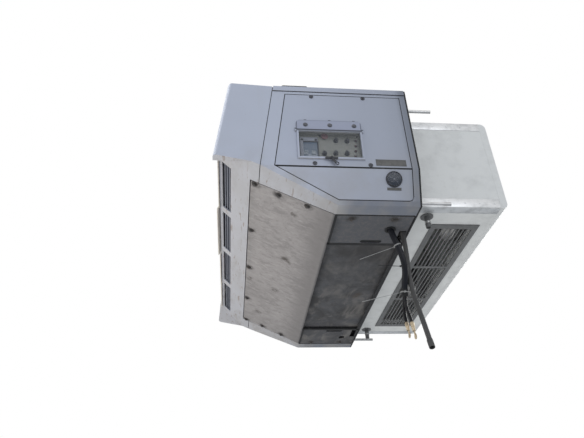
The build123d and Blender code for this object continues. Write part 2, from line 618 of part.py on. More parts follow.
def condenser_fan_shroud():
    """Ring under the top cover, round the outlet fan."""
    height = COVER_TOP_Z - SEAT - CONDENSER_MOTOR_Z
    return Pos(0, CONDENSER_FAN_Y, CONDENSER_MOTOR_Z) * fan_ring(FAN_BORE, height)


def condenser_fan_motor():
    """The outlet fan's motor on four arms."""
    shaft = CONDENSER_MOTOR_HEIGHT + RUN_GAP + CONDENSER_HUB_HEIGHT - SHAFT_SHORT
    motor = fan_motor(FAN_BORE, CONDENSER_MOTOR_RADIUS, CONDENSER_MOTOR_HEIGHT, shaft, CONDENSER_ARMS)
    return Pos(0, CONDENSER_FAN_Y, CONDENSER_MOTOR_Z) * motor


def condenser_fan_guard():
    """Guard on the top cover's outlet."""
    return Pos(0, CONDENSER_FAN_Y, TOP_Z + GUARD_THICK / 2) * fan_guard(FAN_BORE, CONDENSER_WIRES)


EVAPORATOR_ROTOR_Y = EVAPORATOR_DEPTH - EVAPORATOR_BACK_GAP - EVAPORATOR_HUB_HEIGHT
EVAPORATOR_MOTOR_Y = EVAPORATOR_ROTOR_Y - RUN_GAP - EVAPORATOR_MOTOR_HEIGHT
FAN_SIDES = (-EVAPORATOR_FAN_X, EVAPORATOR_FAN_X)


def facing_back(shape, x, y):
    """A piece about Z turned to face along +Y."""
    return Pos(x, y, 0) * Rot(-90, 0, 0) * shape


def evaporator_fan(x):
    """Supply fan in the evaporator's rear face."""
    rotor = fan_rotor(EVAPORATOR_FAN_DIAMETER, EVAPORATOR_HUB_RADIUS, EVAPORATOR_HUB_HEIGHT,
                      EVAPORATOR_BLADES, EVAPORATOR_CHORD)
    return facing_back(rotor, x, EVAPORATOR_ROTOR_Y)


def evaporator_fan_rings():
    """Rings of the two supply fans."""
    ring = fan_ring(EVAPORATOR_BORE, EVAPORATOR_DEPTH - EVAPORATOR_MOTOR_Y)
    return Compound([facing_back(ring, x, EVAPORATOR_MOTOR_Y) for x in FAN_SIDES])


def evaporator_fan_motors():
    """Motors of the two supply fans, each on three arms."""
    shaft = EVAPORATOR_MOTOR_HEIGHT + RUN_GAP + EVAPORATOR_HUB_HEIGHT - SHAFT_SHORT
    motor = fan_motor(EVAPORATOR_BORE, EVAPORATOR_MOTOR_RADIUS, EVAPORATOR_MOTOR_HEIGHT, shaft,
                      EVAPORATOR_ARMS)
    return Compound([facing_back(motor, x, EVAPORATOR_MOTOR_Y) for x in FAN_SIDES])


def evaporator_fan_guards():
    """Guards on the evaporator's rear face."""
    guard = fan_guard(EVAPORATOR_BORE, EVAPORATOR_WIRES)
    return Compound([facing_back(guard, x, EVAPORATOR_DEPTH + GUARD_THICK / 2) for x in FAN_SIDES])


# Evaporator section

PANEL_SEAM_Y = EVAPORATOR_DEPTH - EVAPORATOR_WALL


def evaporator_housing():
    """Insulated case through the wall, open underneath for return air and behind."""
    wall = EVAPORATOR_WALL
    case = block(-EVAPORATOR_HALF, EVAPORATOR_HALF, -GASKET, PANEL_SEAM_Y - SEAT,
                 EVAPORATOR_BOTTOM_Z, EVAPORATOR_TOP_Z)
    case -= block(-EVAPORATOR_HALF + wall, EVAPORATOR_HALF - wall, -GASKET + 2 * wall,
                  EVAPORATOR_DEPTH, EVAPORATOR_BOTTOM_Z + wall, EVAPORATOR_TOP_Z - wall)
    return case - block(-RETURN_HALF, RETURN_HALF, RETURN_FRONT_Y, RETURN_REAR_Y,
                        EVAPORATOR_BOTTOM_Z - CUT, EVAPORATOR_BOTTOM_Z + wall + CUT)


def evaporator_fan_panel():
    """Rear wall of the case, with the two fan holes and rounded edges."""
    panel = block(-EVAPORATOR_HALF, EVAPORATOR_HALF, PANEL_SEAM_Y, EVAPORATOR_DEPTH,
                  EVAPORATOR_BOTTOM_Z, EVAPORATOR_TOP_Z)
    panel = fillet(panel.edges().filter_by(Axis.X).group_by(Axis.Y)[-1], EVAPORATOR_EDGE_RADIUS)
    for x in FAN_SIDES:
        panel -= cylinder_y(x, 0, PANEL_SEAM_Y - CUT, EVAPORATOR_DEPTH + CUT,
                            EVAPORATOR_BORE + RING_WALL + SEAT)
    return panel


def return_air_grille():
    """Frame and bars under the evaporator's return opening."""
    z_from, z_to = EVAPORATOR_BOTTOM_Z - SEAT - RETURN_THICK, EVAPORATOR_BOTTOM_Z - SEAT
    grille = block(-RETURN_HALF - RETURN_FRAME, RETURN_HALF + RETURN_FRAME,
                   RETURN_FRONT_Y - RETURN_FRAME, RETURN_REAR_Y + RETURN_FRAME, z_from, z_to)
    pitch = (RETURN_REAR_Y - RETURN_FRONT_Y) / RETURN_BARS
    width = 2 * RETURN_HALF / RETURN_COLUMNS
    post, bar = RETURN_POST_WIDTH / 2, RETURN_BAR_WIDTH / 2
    for column in range(RETURN_COLUMNS):
        start = -RETURN_HALF + column * width
        for row in range(RETURN_BARS):
            front = RETURN_FRONT_Y + row * pitch
            grille -= block(start + post, start + width - post, front + bar, front + pitch - bar,
                            z_from - CUT, z_to + CUT)
    return grille


def coil_block(half, y_from, y_to, z_from, z_to):
    """Coil as a plain block between two header plates."""
    coil = block(-half, half, y_from + HEADER_PLATE, y_to - HEADER_PLATE,
                 z_from + HEADER_PLATE, z_to - HEADER_PLATE)
    for side in (-half, half - HEADER_PLATE):
        coil += block(side, side + HEADER_PLATE, y_from, y_to, z_from, z_to)
    return coil


def evaporator_coil():
    """Coil across the evaporator, in front of the fans."""
    room = EVAPORATOR_WALL + SEAT
    return coil_block(EVAPORATOR_HALF - room, *EVAPORATOR_COIL_Y,
                      EVAPORATOR_BOTTOM_Z + room, EVAPORATOR_TOP_Z - room)


def drain_spouts():
    """Two hose spouts under the evaporator's front corners."""
    top = EVAPORATOR_BOTTOM_Z
    spouts = []
    for x in (-SPOUT_X, SPOUT_X):
        tube = cylinder_z(x, SPOUT_Y, top - SPOUT_LENGTH, top, SPOUT_RADIUS)
        tube += cylinder_z(x, SPOUT_Y, top - FLANGE_THICK, top, FLANGE_RADIUS)
        spouts.append(tube - cylinder_z(x, SPOUT_Y, top - SPOUT_LENGTH - CUT, top - SPOUT_WALL,
                                        SPOUT_RADIUS - SPOUT_WALL))
    return Compound(spouts)


# Drive inside the outdoor section

def engine_block():
    """The engine's mass, as one plain block on the cradle rails."""
    middle = Pos(ENGINE_X, ENGINE_Y, CRADLE_TOP_Z + ENGINE_HEIGHT / 2)
    return middle * Box(ENGINE_LENGTH, ENGINE_WIDTH, ENGINE_HEIGHT)


def compressor():
    """The compressor beside the engine, on the same rails."""
    body = cylinder_x(COMPRESSOR_Y, CRADLE_TOP_Z + COMPRESSOR_RADIUS, COMPRESSOR_X - COMPRESSOR_LENGTH / 2,
                      COMPRESSOR_X + COMPRESSOR_LENGTH / 2, COMPRESSOR_RADIUS)
    foot = Pos(COMPRESSOR_X, COMPRESSOR_Y, CRADLE_TOP_Z + FOOT_HEIGHT / 2)
    return body + foot * Box(FOOT_LENGTH, FOOT_WIDTH, FOOT_HEIGHT)


def condenser_coil():
    """Coil behind the nose, leaning as the front does."""
    half = SIDE_FRAME_X - FRAME_PLATE - SEAT
    coil = coil_block(half, -COIL_THICK / 2, COIL_THICK / 2, COIL_BOTTOM_Z, COIL_TOP_Z)
    lean = math.degrees(math.atan(FRONT_LEAN))
    return Pos(0, COIL_Y, 0) * Rot(-lean, 0, 0) * coil


# Controls in the left end

PANEL_FACE_X = HALF - CONTROL_DEPTH


def service_panel_left():
    """Left service panel with the control window cut in it."""
    return upper_panel() - prism_x(WINDOW, HALF - CUT, HALF + CUT)


def control_box():
    """Tray behind the window with the instrument plate."""
    outer = inset(WINDOW, -TRAY_MARGIN - CONTROL_WALL)
    inner = inset(WINDOW, -TRAY_MARGIN)
    back = HALF - TRAY_DEPTH
    tray = prism_x(outer, back, HALF - SHEET) - prism_x(inner, back + CONTROL_WALL, HALF)
    return tray + prism_x(inner, PANEL_FACE_X - INSTRUMENT_THICK, PANEL_FACE_X)


COVER_X = HALF + SEAT
HINGE_X = COVER_X + HINGE_RADIUS
HINGE_Z = WINDOW_TOP_Z - HINGE_RADIUS
COVER_FRONT_Y = WINDOW_FRONT_Y - COVER_BORDER
COVER_REAR_Y = WINDOW_REAR_Y + COVER_BORDER
COVER_OPENING = [(WINDOW_REAR_Y, HINGE_Z - COVER_HEAD), (WINDOW_FRONT_Y, HINGE_Z - COVER_HEAD),
                 (WINDOW_FRONT_Y, WINDOW_BOTTOM_Z), (WINDOW_REAR_Y, WINDOW_BOTTOM_Z)]


def control_hinge_strip():
    """Strip over the window, with an ear at each end that holds the cover's hinge pins."""
    low = HINGE_Z + HINGE_RADIUS + STRIP_GAP
    front, rear = COVER_FRONT_Y - EAR_GAP - EAR_WIDTH, COVER_REAR_Y + EAR_GAP + EAR_WIDTH
    shoulder, top = low + STRIP_SHOULDER, low + STRIP_HEIGHT
    strip = prism_x([(rear, shoulder), (COVER_REAR_Y, shoulder), (COVER_REAR_Y, top), (COVER_FRONT_Y, top),
                     (COVER_FRONT_Y, shoulder), (front, shoulder), (front, low), (rear, low)],
                    HALF, HALF + STRIP_THICK)
    strip = fillet(strip.edges().filter_by(Axis.X).group_by(Axis.Z)[-1], STRIP_CORNER)
    for y in (front, rear - EAR_WIDTH):
        strip += block(HALF, HINGE_X + HINGE_RADIUS, y, y + EAR_WIDTH,
                       HINGE_Z - HINGE_RADIUS, low + STRIP_THICK)
        strip -= cylinder_y(HINGE_X, HINGE_Z, y - EAR_GAP, y + EAR_WIDTH + EAR_GAP, PIN_RADIUS + PIN_GAP)
    return strip


def control_cover():
    """Flap frame round the window pane, with a hinge roll and its pins along the top."""
    outline = [(COVER_REAR_Y, HINGE_Z), (COVER_FRONT_Y, HINGE_Z),
               (COVER_FRONT_Y, WINDOW_BOTTOM_Z - COVER_BORDER),
               (COVER_REAR_Y, WINDOW_BOTTOM_Z - COVER_BORDER)]
    frame = prism_x(outline, COVER_X, COVER_X + COVER_THICK)
    frame -= prism_x(COVER_OPENING, COVER_X - CUT, COVER_X + CUT)
    frame += cylinder_y(HINGE_X, HINGE_Z, COVER_FRONT_Y, COVER_REAR_Y, HINGE_RADIUS)
    reach = EAR_GAP + EAR_WIDTH
    return frame + cylinder_y(HINGE_X, HINGE_Z, COVER_FRONT_Y - reach, COVER_REAR_Y + reach, PIN_RADIUS)


def control_pane():
    """Clear pane in the cover's frame."""
    return prism_x(inset(COVER_OPENING, SEAT), COVER_X + PANE_BACK, COVER_X + PANE_BACK + PANE_THICK)


def buttons(table):
    """Round controls from a table of y, z, radius and height."""
    return Compound([cylinder_x(y, z, PANEL_FACE_X, PANEL_FACE_X + height, radius)
                     for y, z, radius, height in table])


def control_meter():
    """Hour meter and fuse module at the front of the instrument plate."""
    face = PANEL_FACE_X + METER_DEPTH
    return (block(PANEL_FACE_X, face, *METER_Y, *METER_Z)
            - block(face - METER_WINDOW_DEPTH, face + CUT, *METER_WINDOW_Y, *METER_WINDOW_Z))


def cover_latch():
    """Latch handle, key and ring at the cover's lower edge."""
    z = WINDOW_BOTTOM_Z - COVER_BORDER
    x = COVER_X + COVER_THICK
    handle = Pos(x + LATCH_THICK / 2, LATCH_Y, z) * Box(LATCH_THICK, LATCH_LENGTH, LATCH_HEIGHT)
    barrel = cylinder_x(LATCH_Y, z, x, x + BARREL_LENGTH, BARREL_RADIUS)
    head = Pos(x + BARREL_LENGTH - 1, LATCH_Y, z + BARREL_RADIUS - KEY_HEIGHT)
    key = Box(KEY_LENGTH, KEY_WIDTH, KEY_HEIGHT, align=(Align.MIN, Align.CENTER, Align.MIN))
    return handle + barrel + head * key


def tuck_plane(y, down):
    """Plane on the tucked-in face at y, down the slope from the crease, facing outwards."""
    angle = math.radians(TUCK_ANGLE)
    origin = (HALF - down * math.sin(angle), y, TUCK_Z - down * math.cos(angle))
    return Plane(origin, x_dir=(0, 1, 0), z_dir=(math.cos(angle), 0, -math.sin(angle)))


def round_gauge():
    """Round gauge with a raised rim on the left lower panel."""
    plane = tuck_plane(GAUGE_Y, GAUGE_DROP)
    gauge = extrude(plane * Circle(GAUGE_RADIUS), amount=GAUGE_PROUD)
    dish = plane.offset(GAUGE_PROUD - GAUGE_DISH) * Circle(GAUGE_RADIUS - GAUGE_RIM)
    return gauge - extrude(dish, amount=CUT)


def lifting_plates():
    """Plates on the top cover with a tapped hole for a lifting eye, one at each end."""
    plates = []
    for x in (LIFT_X, -LIFT_X):
        plate = Pos(x, LIFT_Y, TOP_Z + LIFT_THICK / 2) * Box(LIFT_WIDTH, LIFT_LENGTH, LIFT_THICK)
        plate = chamfer(plate.edges().filter_by(Axis.Z), LIFT_CORNER)
        plates.append(plate - cylinder_z(x, LIFT_Y, TOP_Z, TOP_Z + CUT, LIFT_HOLE_RADIUS))
    return Compound(plates)


# Cords under the left end

def below_end(route):
    """Centre line given as (x from the cable hole, y, z)."""
    return [(HOSE_EXIT[0] + x, y, z) for x, y, z in route]


# Centre lines chosen by eye
SLEEVE_ROUTE = below_end([(0, -72, -233), (-2, -63, -268), (-7, -48, -310), (-12, -38, -350),
                          (-25, -34, -384), (-47, -35, -410), (-60, -36, -440)])
CABLE_A_ROUTE = below_end([(-72, -36.5, -452.4), (-82.4, -37.3, -476), (-85, -39, -503),
                           (-79, -41, -530), (-70, -42, -556)])
CABLE_B_ROUTE = below_end([(-60.8, -36.5, -457.6), (-69.5, -36.5, -481), (-65, -34, -508),
                           (-57, -31, -536), (-52, -30, -563)])
DRAIN_ROUTE = below_end([(-23, -22, -229), (-31, -17, -300), (-46, -16, -368), (-45, -15, -440),
                         (-19, -15, -508), (11, -15, -578), (37, -15, -648)])


def bend_radii(route):
    """Radius of the arc at each inner point: as large as its two runs allow."""
    radii = []
    for before, here, after in zip(route, route[1:], route[2:]):
        first, second = Vector(*here) - Vector(*before), Vector(*after) - Vector(*here)
        half_turn = math.radians(first.get_angle(second)) / 2
        radii.append(RUN_SHARE * min(first.length, second.length) / math.tan(half_turn))
    return radii


def cord(route, diameter, name):
    """Tube along straight runs joined by tangent arcs."""
    radii = bend_radii(route)
    path = FilletPolyline(*route, radius=radii)
    start = Plane(origin=route[0], z_dir=Vector(*route[1]) - Vector(*route[0]))
    tube = sweep(start * Circle(diameter / 2), path=path)
    share = tube.volume / (math.pi * diameter ** 2 / 4 * path.length)
    print(name, "radii", [round(r) for r in radii], "length", round(path.length), "share", round(share, 4))
    return tube


def along(route, length, radius):
    """Cylinder that carries on past the end of a route."""
    end, before = Vector(*route[-1]), Vector(*route[-2])
    return extrude(Plane(end, z_dir=(end - before).normalized()) * Circle(radius), amount=length)


def cable_boot():
    """Boot at the sleeve's end, where the two cables part."""
    return along(SLEEVE_ROUTE, BOOT_LENGTH, SLEEVE_DIAMETER / 2 + BOOT_WALL)


def cable_lug(route):
    """Crimped ring terminal on a cable's end."""
    end, before = Vector(*route[-1]), Vector(*route[-2])
    heading = (end - before).normalized()
    barrel = along(route, LUG_BARREL, CABLE_DIAMETER / 2)
    flat = Plane(end + heading * LUG_CENTRE, x_dir=heading, z_dir=heading.cross(Vector(1, 0, 0)))
    tongue = extrude(flat * SlotOverall(LUG_LENGTH, LUG_WIDTH), amount=LUG_THICK / 2, both=True)
    hole = extrude(flat * Pos(LUG_HOLE, 0) * Circle(LUG_HOLE_RADIUS), amount=LUG_THICK, both=True)
    return barrel + tongue - hole


def drain_cuff():
    """Rubber cuff on the drain hose's end."""
    return along(DRAIN_ROUTE, CUFF_LENGTH, DRAIN_DIAMETER / 2 + CUFF_WALL)


def cable_grommet():
    """Rubber grommet in the plate's cable hole."""
    x, y = HOSE_EXIT
    inner = SLEEVE_DIAMETER / 2 + SEAT + GROMMET_ROOM
    outer = SLEEVE_DIAMETER / 2 + GROMMET_WALL - SEAT
    ring = cylinder_z(x, y, BELLY_Z - GROMMET_LIP, BELLY_Z + SHEET + GROMMET_LIP, outer)
    ring += cylinder_z(x, y, BELLY_Z - GROMMET_LIP - SEAT, BELLY_Z - SEAT, outer + GROMMET_FLANGE)
    return ring - cylinder_z(x, y, BELLY_Z - CUT, BELLY_Z + CUT, inner)


if __name__ == "__main__":
    panel = upper_panel()
    plate = belly_plate()
    cover = end_cover()
    lower = lower_panel()
    save("mounting_frame", mounting_frame())
    save("wall_studs", wall_studs())
    save("bulkhead_gasket", bulkhead_gasket())
    save("front_cowl", front_cowl())
    save("grille_slats", grille_slats())
    save("front_lip_strips", front_lip_strips())
    save("top_cover", top_cover())
    save("lifting_plates", lifting_plates())
    save("end_cover_left", cover)
    save("end_cover_right", mirrored(cover))
    save("service_panel_left", service_panel_left())
    save("service_panel_right", mirrored(panel))
    save("lower_panel_left", lower)
    save("lower_panel_right", mirrored(lower))
    save("belly_slope_panel", belly_slope_panel())
    save("belly_rear_panel", belly_rear_panel())
    save("belly_plate_left", plate)
    save("belly_plate_right", mirrored(plate))
    save("condenser_coil", condenser_coil())
    save("condenser_fan", condenser_fan())
    save("condenser_fan_shroud", condenser_fan_shroud())
    save("condenser_fan_motor", condenser_fan_motor())
    save("condenser_fan_guard", condenser_fan_guard())
    save("engine_block", engine_block())
    save("compressor", compressor())
    save("evaporator_housing", evaporator_housing())
    save("evaporator_fan_panel", evaporator_fan_panel())
    save("evaporator_coil", evaporator_coil())
    save("evaporator_fan_left", evaporator_fan(EVAPORATOR_FAN_X))
    save("evaporator_fan_right", evaporator_fan(-EVAPORATOR_FAN_X))
    save("evaporator_fan_rings", evaporator_fan_rings())
    save("evaporator_fan_motors", evaporator_fan_motors())
    save("evaporator_fan_guards", evaporator_fan_guards())
    save("return_air_grille", return_air_grille())
    save("drain_spouts", drain_spouts())
    save("control_box", control_box())
    save("control_hinge_strip", control_hinge_strip())
    save("control_cover", control_cover())
    save("control_pane", control_pane())
    save("control_knobs", buttons(KNOBS))
    save("control_lamps", buttons(LAMPS))
    save("control_meter", control_meter())
    save("cover_latch", cover_latch())
    save("round_gauge", round_gauge())
    save("cable_grommet", cable_grommet())
    save("cable_sleeve", cord(SLEEVE_ROUTE, SLEEVE_DIAMETER, "cable_sleeve"))
    save("battery_cable_a", cord(CABLE_A_ROUTE, CABLE_DIAMETER, "battery_cable_a"))
    save("battery_cable_b", cord(CABLE_B_ROUTE, CABLE_DIAMETER, "battery_cable_b"))
    save("drain_hose", cord(DRAIN_ROUTE, DRAIN_DIAMETER, "drain_hose"))
    save("cable_boot", cable_boot())
    save("cable_lugs", Compound([cable_lug(CABLE_A_ROUTE), cable_lug(CABLE_B_ROUTE)]))
    save("drain_cuff", drain_cuff())
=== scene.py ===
"""Dresses the truck refrigeration unit: finishes, fasteners, controls, cables, coils and fittings."""
import json
from itertools import product
from math import atan, atan2, cos, pi, radians, sin, sqrt, tan
import bmesh
import bpy
from mathutils import Matrix, Vector


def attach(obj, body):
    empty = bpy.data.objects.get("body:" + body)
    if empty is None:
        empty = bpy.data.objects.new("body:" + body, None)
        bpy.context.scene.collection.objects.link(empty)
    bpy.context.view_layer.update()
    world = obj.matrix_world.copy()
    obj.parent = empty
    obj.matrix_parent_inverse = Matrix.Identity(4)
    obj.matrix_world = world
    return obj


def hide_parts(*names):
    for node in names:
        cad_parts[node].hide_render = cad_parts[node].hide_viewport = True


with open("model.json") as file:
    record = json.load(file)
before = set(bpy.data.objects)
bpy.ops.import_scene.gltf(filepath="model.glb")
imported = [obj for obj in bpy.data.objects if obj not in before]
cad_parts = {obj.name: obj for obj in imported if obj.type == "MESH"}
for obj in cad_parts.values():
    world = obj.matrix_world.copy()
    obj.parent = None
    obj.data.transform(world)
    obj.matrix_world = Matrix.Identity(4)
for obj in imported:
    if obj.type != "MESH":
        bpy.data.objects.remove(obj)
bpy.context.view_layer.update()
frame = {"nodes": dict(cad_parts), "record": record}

MM = 0.001
FULL_TURN = 2 * pi
HALF = 685
TOP_Z, BELLY_Z, TUCK_Z = 234, -236, -117
TUCK_ANGLE = radians(20)
SLOPE_ANGLE = atan2(134, 278)
CREASE_Y = -273
SPLIT_Y, FRONT_LEAN, SEAM = -505, 0.135, 2.5
EVAPORATOR_BACK_Y = 330
FLOOR_Z = -1300


def linked(name, data):
    """New object in the scene."""
    made = bpy.data.objects.new(name, data)
    bpy.context.scene.collection.objects.link(made)
    return made


# Camera

CAMERA_PLACE = (2.105, -0.5955, -1.2361)
CAMERA_RIGHT = (0.092, 0.995, -0.039)
CAMERA_DOWN = (-0.5409, 0.0171, -0.8409)
SENSOR_WIDTH = 36
LENS = 34.96


def make_camera():
    """Camera low beside the left end, looking up at it."""
    lens = bpy.data.cameras.new("camera")
    lens.sensor_width = SENSOR_WIDTH
    lens.lens = LENS
    lens.clip_start, lens.clip_end = 0.05, 60
    camera = linked("camera", lens)
    right = Vector(CAMERA_RIGHT).normalized()
    back = right.cross(-Vector(CAMERA_DOWN)).normalized()
    up = back.cross(right)
    camera.matrix_world = Matrix.Translation(CAMERA_PLACE) @ Matrix((right, up, back)).transposed().to_4x4()
    bpy.context.scene.camera = camera


# Finishes

class Finish:
    """One procedural finish in object coordinates, laid on coat by coat."""

    def __init__(self, name, colour, roughness, metallic=0):
        self.material = bpy.data.materials.new(name)
        self.material.use_nodes = True
        self.tree = self.material.node_tree
        self.shader = self.tree.nodes["Principled BSDF"]
        self.shader.inputs["Metallic"].default_value = metallic
        self.place = self.node("TexCoord", {}, "Object")
        self.colour = (*colour, 1)
        self.roughness = roughness
        self.normal = None

    def feed(self, socket, value):
        """Link or set one socket."""
        if isinstance(value, bpy.types.NodeSocket):
            self.tree.links.new(value, socket)
        else:
            socket.default_value = value

    def node(self, kind, inputs, output, **settings):
        """One output of a new node with these settings and inputs."""
        made = self.tree.nodes.new("ShaderNode" + kind)
        for name, value in settings.items():
            setattr(made, name, value)
        for name, value in inputs.items():
            self.feed(made.inputs[name], value)
        return made.outputs[output]

    def noise(self, scale, detail, stretch=(1, 1, 1), distortion=0, harshness=0.6):
        """Cloudy pattern, about 0.5 in the middle."""
        place = self.node("Mapping", {"Vector": self.place, "Scale": stretch}, "Vector")
        return self.node("TexNoise", {"Vector": place, "Scale": scale, "Detail": detail,
                                      "Roughness": harshness, "Distortion": distortion}, "Fac")

    def cells(self, scale):
        """Distance to the nearest of scattered points."""
        return self.node("TexVoronoi", {"Vector": self.place, "Scale": scale}, "Distance")

    def between(self, value, low, high, above=1, below=0):
        """Smooth step between two values, from the level below to the one above."""
        return self.node("MapRange", {"Value": value, "From Min": low, "From Max": high, "To Min": below,
                                      "To Max": above}, "Result", interpolation_type="SMOOTHSTEP")

    def clouds(self, grain, *steps):
        """Smooth step through a cloudy pattern."""
        return self.between(self.noise(*grain), *steps)

    def ramp(self, axis, *steps):
        """Smooth step along one axis, 0 to 2, in metres."""
        return self.between(self.node("SeparateXYZ", {"Vector": self.place}, axis), *steps)

    def facing(self, axis):
        """How far the surface faces along an axis."""
        normal = self.node("NewGeometry", {}, "Normal")
        return self.node("SeparateXYZ", {"Vector": normal}, axis)

    def maths(self, operation, first, second):
        """Two values combined."""
        return self.node("Math", {0: first, 1: second}, "Value", operation=operation)

    def product(self, first, *others):
        """Several values multiplied."""
        for other in others:
            first = self.maths("MULTIPLY", first, other)
        return first

    def near(self, points, inner, outer):
        """1 close to any of the points, in millimetres, and 0 beyond outer."""
        nearest = None
        for point in points:
            ends = {0: self.place, 1: Vector(point) * MM}
            gap = self.node("VectorMath", ends, "Value", operation="DISTANCE")
            nearest = gap if nearest is None else self.maths("MINIMUM", nearest, gap)
        return self.between(nearest, inner * MM, outer * MM, 0, 1)

    def coat(self, mask, colour, roughness=None):
        """Mix a colour, and any roughness, over what is there, by one mask or several."""
        if isinstance(mask, tuple):
            mask = self.product(*mask)
        self.colour = self.node("Mix", {"Factor": mask, "A": self.colour, "B": (*colour, 1)}, "Result",
                                data_type="RGBA")
        if roughness is not None:
            self.roughness = self.node("Mix", {"Factor": mask, "A": self.roughness, "B": roughness}, "Result")
        return self

    def fleck(self, grain, steps, colour, roughness=None):
        """One coat in the spots of a cloudy pattern."""
        self.coat(self.clouds(grain, *steps), colour, roughness)

    def emboss(self, height, depth, strength):
        """Bump from a height pattern, depth in millimetres."""
        inputs = {"Strength": strength, "Distance": depth * MM, "Height": height}
        if self.normal is not None:
            inputs["Normal"] = self.normal
        self.normal = self.node("Bump", inputs, "Normal")
        return self

    def done(self):
        """Link the coats to the shader and return the material."""
        self.feed(self.shader.inputs["Base Color"], self.colour)
        self.feed(self.shader.inputs["Roughness"], self.roughness)
        if self.normal is not None:
            self.feed(self.shader.inputs["Normal"], self.normal)
        return self.material


# Fastener places in millimetres, shared by the shapes and the grime round them
DOOR_FASTENERS = [(-341.5, 190), (-158.4, 190), (-345.5, -104.5), (-163, -106.5)]
STRIP_BOLTS = [(-369, 56), (-286, 56), (-203, 56)]
SLOPE_BOLTS = [(573, -535), (566, -455.5), (570, -362), (278, -537), (-19, -537),
               (-324, -537), (-573, -535), (-566, -455.5), (-570, -362)]
PLATE_BOLTS = [(563, -216), (563, -71), (-563, -216), (-563, -71)]
STAINS = [(155, -396, -176), (170, -404, -173), (-118, -532, -111), (-125, -423, -163), (490, -403, -173),
          (-41, -77, -224), (-62, -84, -224), (-420, -480, -136)]


def slope_height(y):
    """Height of the sloping underside at y, in millimetres."""
    return BELLY_Z + (CREASE_Y - y) * tan(SLOPE_ANGLE)


def shade(colour, share):
    """The same colour lighter or darker."""
    return [min(1, c * share) for c in colour]


def weathered_paint(name, colour, grime, streaks):
    """Aged white enamel: chalky clouds, rain streaks, specks and dirt low down, with painted warm bounce
    light on downward faces and painted shade towards the rear and on the foot.
    """
    paint = Finish(name, colour, 0.42)
    paint.fleck((2.2, 4), (0.35, 0.75, 0.5), shade(colour, 0.9), 0.52)
    below = paint.between(paint.facing(2), -0.2, -0.75)
    # Downward faces tinted warm grey: painted warm bounce light from the ground, with a duller road film.
    paint.coat((below, 0.72), (0.475, 0.458, 0.455), 0.58)
    scratches = paint.clouds((70, 5, (0.22, 1.4, 1.4), 0.8), 0.585, 0.675)
    paint.coat((scratches, below, 0.62), (0.24, 0.16, 0.11), 0.8)
    smudge = paint.clouds((11, 8, (0.5, 1, 1), 0.6), 0.5, 0.72)
    paint.coat((smudge, below, 0.45), (0.34, 0.315, 0.3), 0.8)
    # Painted shade of the wall behind, with some grime: the enamel darkens and turns bluer towards the rear,
    # most of all on the rear flange.
    paint.coat(paint.ramp(1, -0.44, -0.1, 0.56), (0.29, 0.31, 0.365), 0.5)
    paint.coat(paint.ramp(1, -0.12, -0.03, 0.4), (0.25, 0.27, 0.32), 0.5)
    paint.coat(paint.ramp(1, -0.046, -0.014, 0.8), (0.155, 0.17, 0.205), 0.6)
    # Painted shade, with some grime, on the foot low at the rear.
    foot = paint.product(paint.ramp(2, -0.214, -0.224), paint.ramp(1, -0.3, -0.215), 0.88)
    paint.coat(foot, (0.15, 0.165, 0.2), 0.65)
    paint.fleck((26, 4, (1, 1, 0.06)), (0.56, 0.8, streaks), (0.4, 0.38, 0.34), 0.6)
    low = paint.product(paint.ramp(2, 0.05, -0.23), paint.clouds((9, 7), 0.35, 0.7), grime)
    paint.coat(low, (0.33, 0.3, 0.26), 0.75)
    specks = paint.between(paint.cells(70), 0.05, 0.11, 0, 0.55)
    paint.coat((specks, paint.clouds((5, 2), 0.55, 0.65)), (0.2, 0.15, 0.11))
    paint.emboss(paint.noise(420, 2), 0.1, 0.5)
    return paint.emboss(paint.noise(14, 2), 0.8, 0.25)


def panel_paint(name):
    """The panels' enamel in painted shade, with painted shade on the strip over the control window, a dark
    outline round the strip that is partly its joint and partly painted shadow, and painted shade with a
    painted shadow line on the window cover's head beneath it.
    """
    # Blue-grey base, darker than the nose's: painted sky shade on white enamel.
    paint = weathered_paint(name, (0.44, 0.47, 0.56), 0.25, 0.16)
    proud = paint.ramp(0, 0.6852, 0.6856)
    strip = paint.product(proud, paint.ramp(2, 0.0325, 0.0335))
    # Painted shade: the raised strip over the window darker and bluer.
    paint.coat((strip, 0.62), (0.28, 0.3, 0.4), 0.38)
    # Dark outline round the strip's ends and top: partly its joint, partly painted shadow beside it.
    sides = paint.maths("MAXIMUM", paint.ramp(1, -0.183, -0.181), paint.ramp(2, 0.0745, 0.0762, 0.6))
    rim = paint.maths("MAXIMUM", paint.ramp(1, -0.3965, -0.3985), sides)
    paint.coat((strip, rim, 0.8), (0.07, 0.078, 0.1), 0.6)
    # Painted shade on the window cover's head under the strip, and a painted shadow line along its top,
    # partly the hinge gap.
    head = paint.product(paint.ramp(2, 0.0268, 0.0276), paint.ramp(2, 0.0384, 0.0376))
    head = paint.product(head, paint.product(paint.ramp(1, -0.401, -0.4),
                                             paint.ramp(1, -0.1785, -0.1795)), proud)
    paint.coat((head, 0.75), (0.115, 0.125, 0.15), 0.6)
    line = paint.product(head, paint.ramp(2, 0.0306, 0.0316), 0.9)
    return paint.coat(line, (0.035, 0.038, 0.05), 0.7)


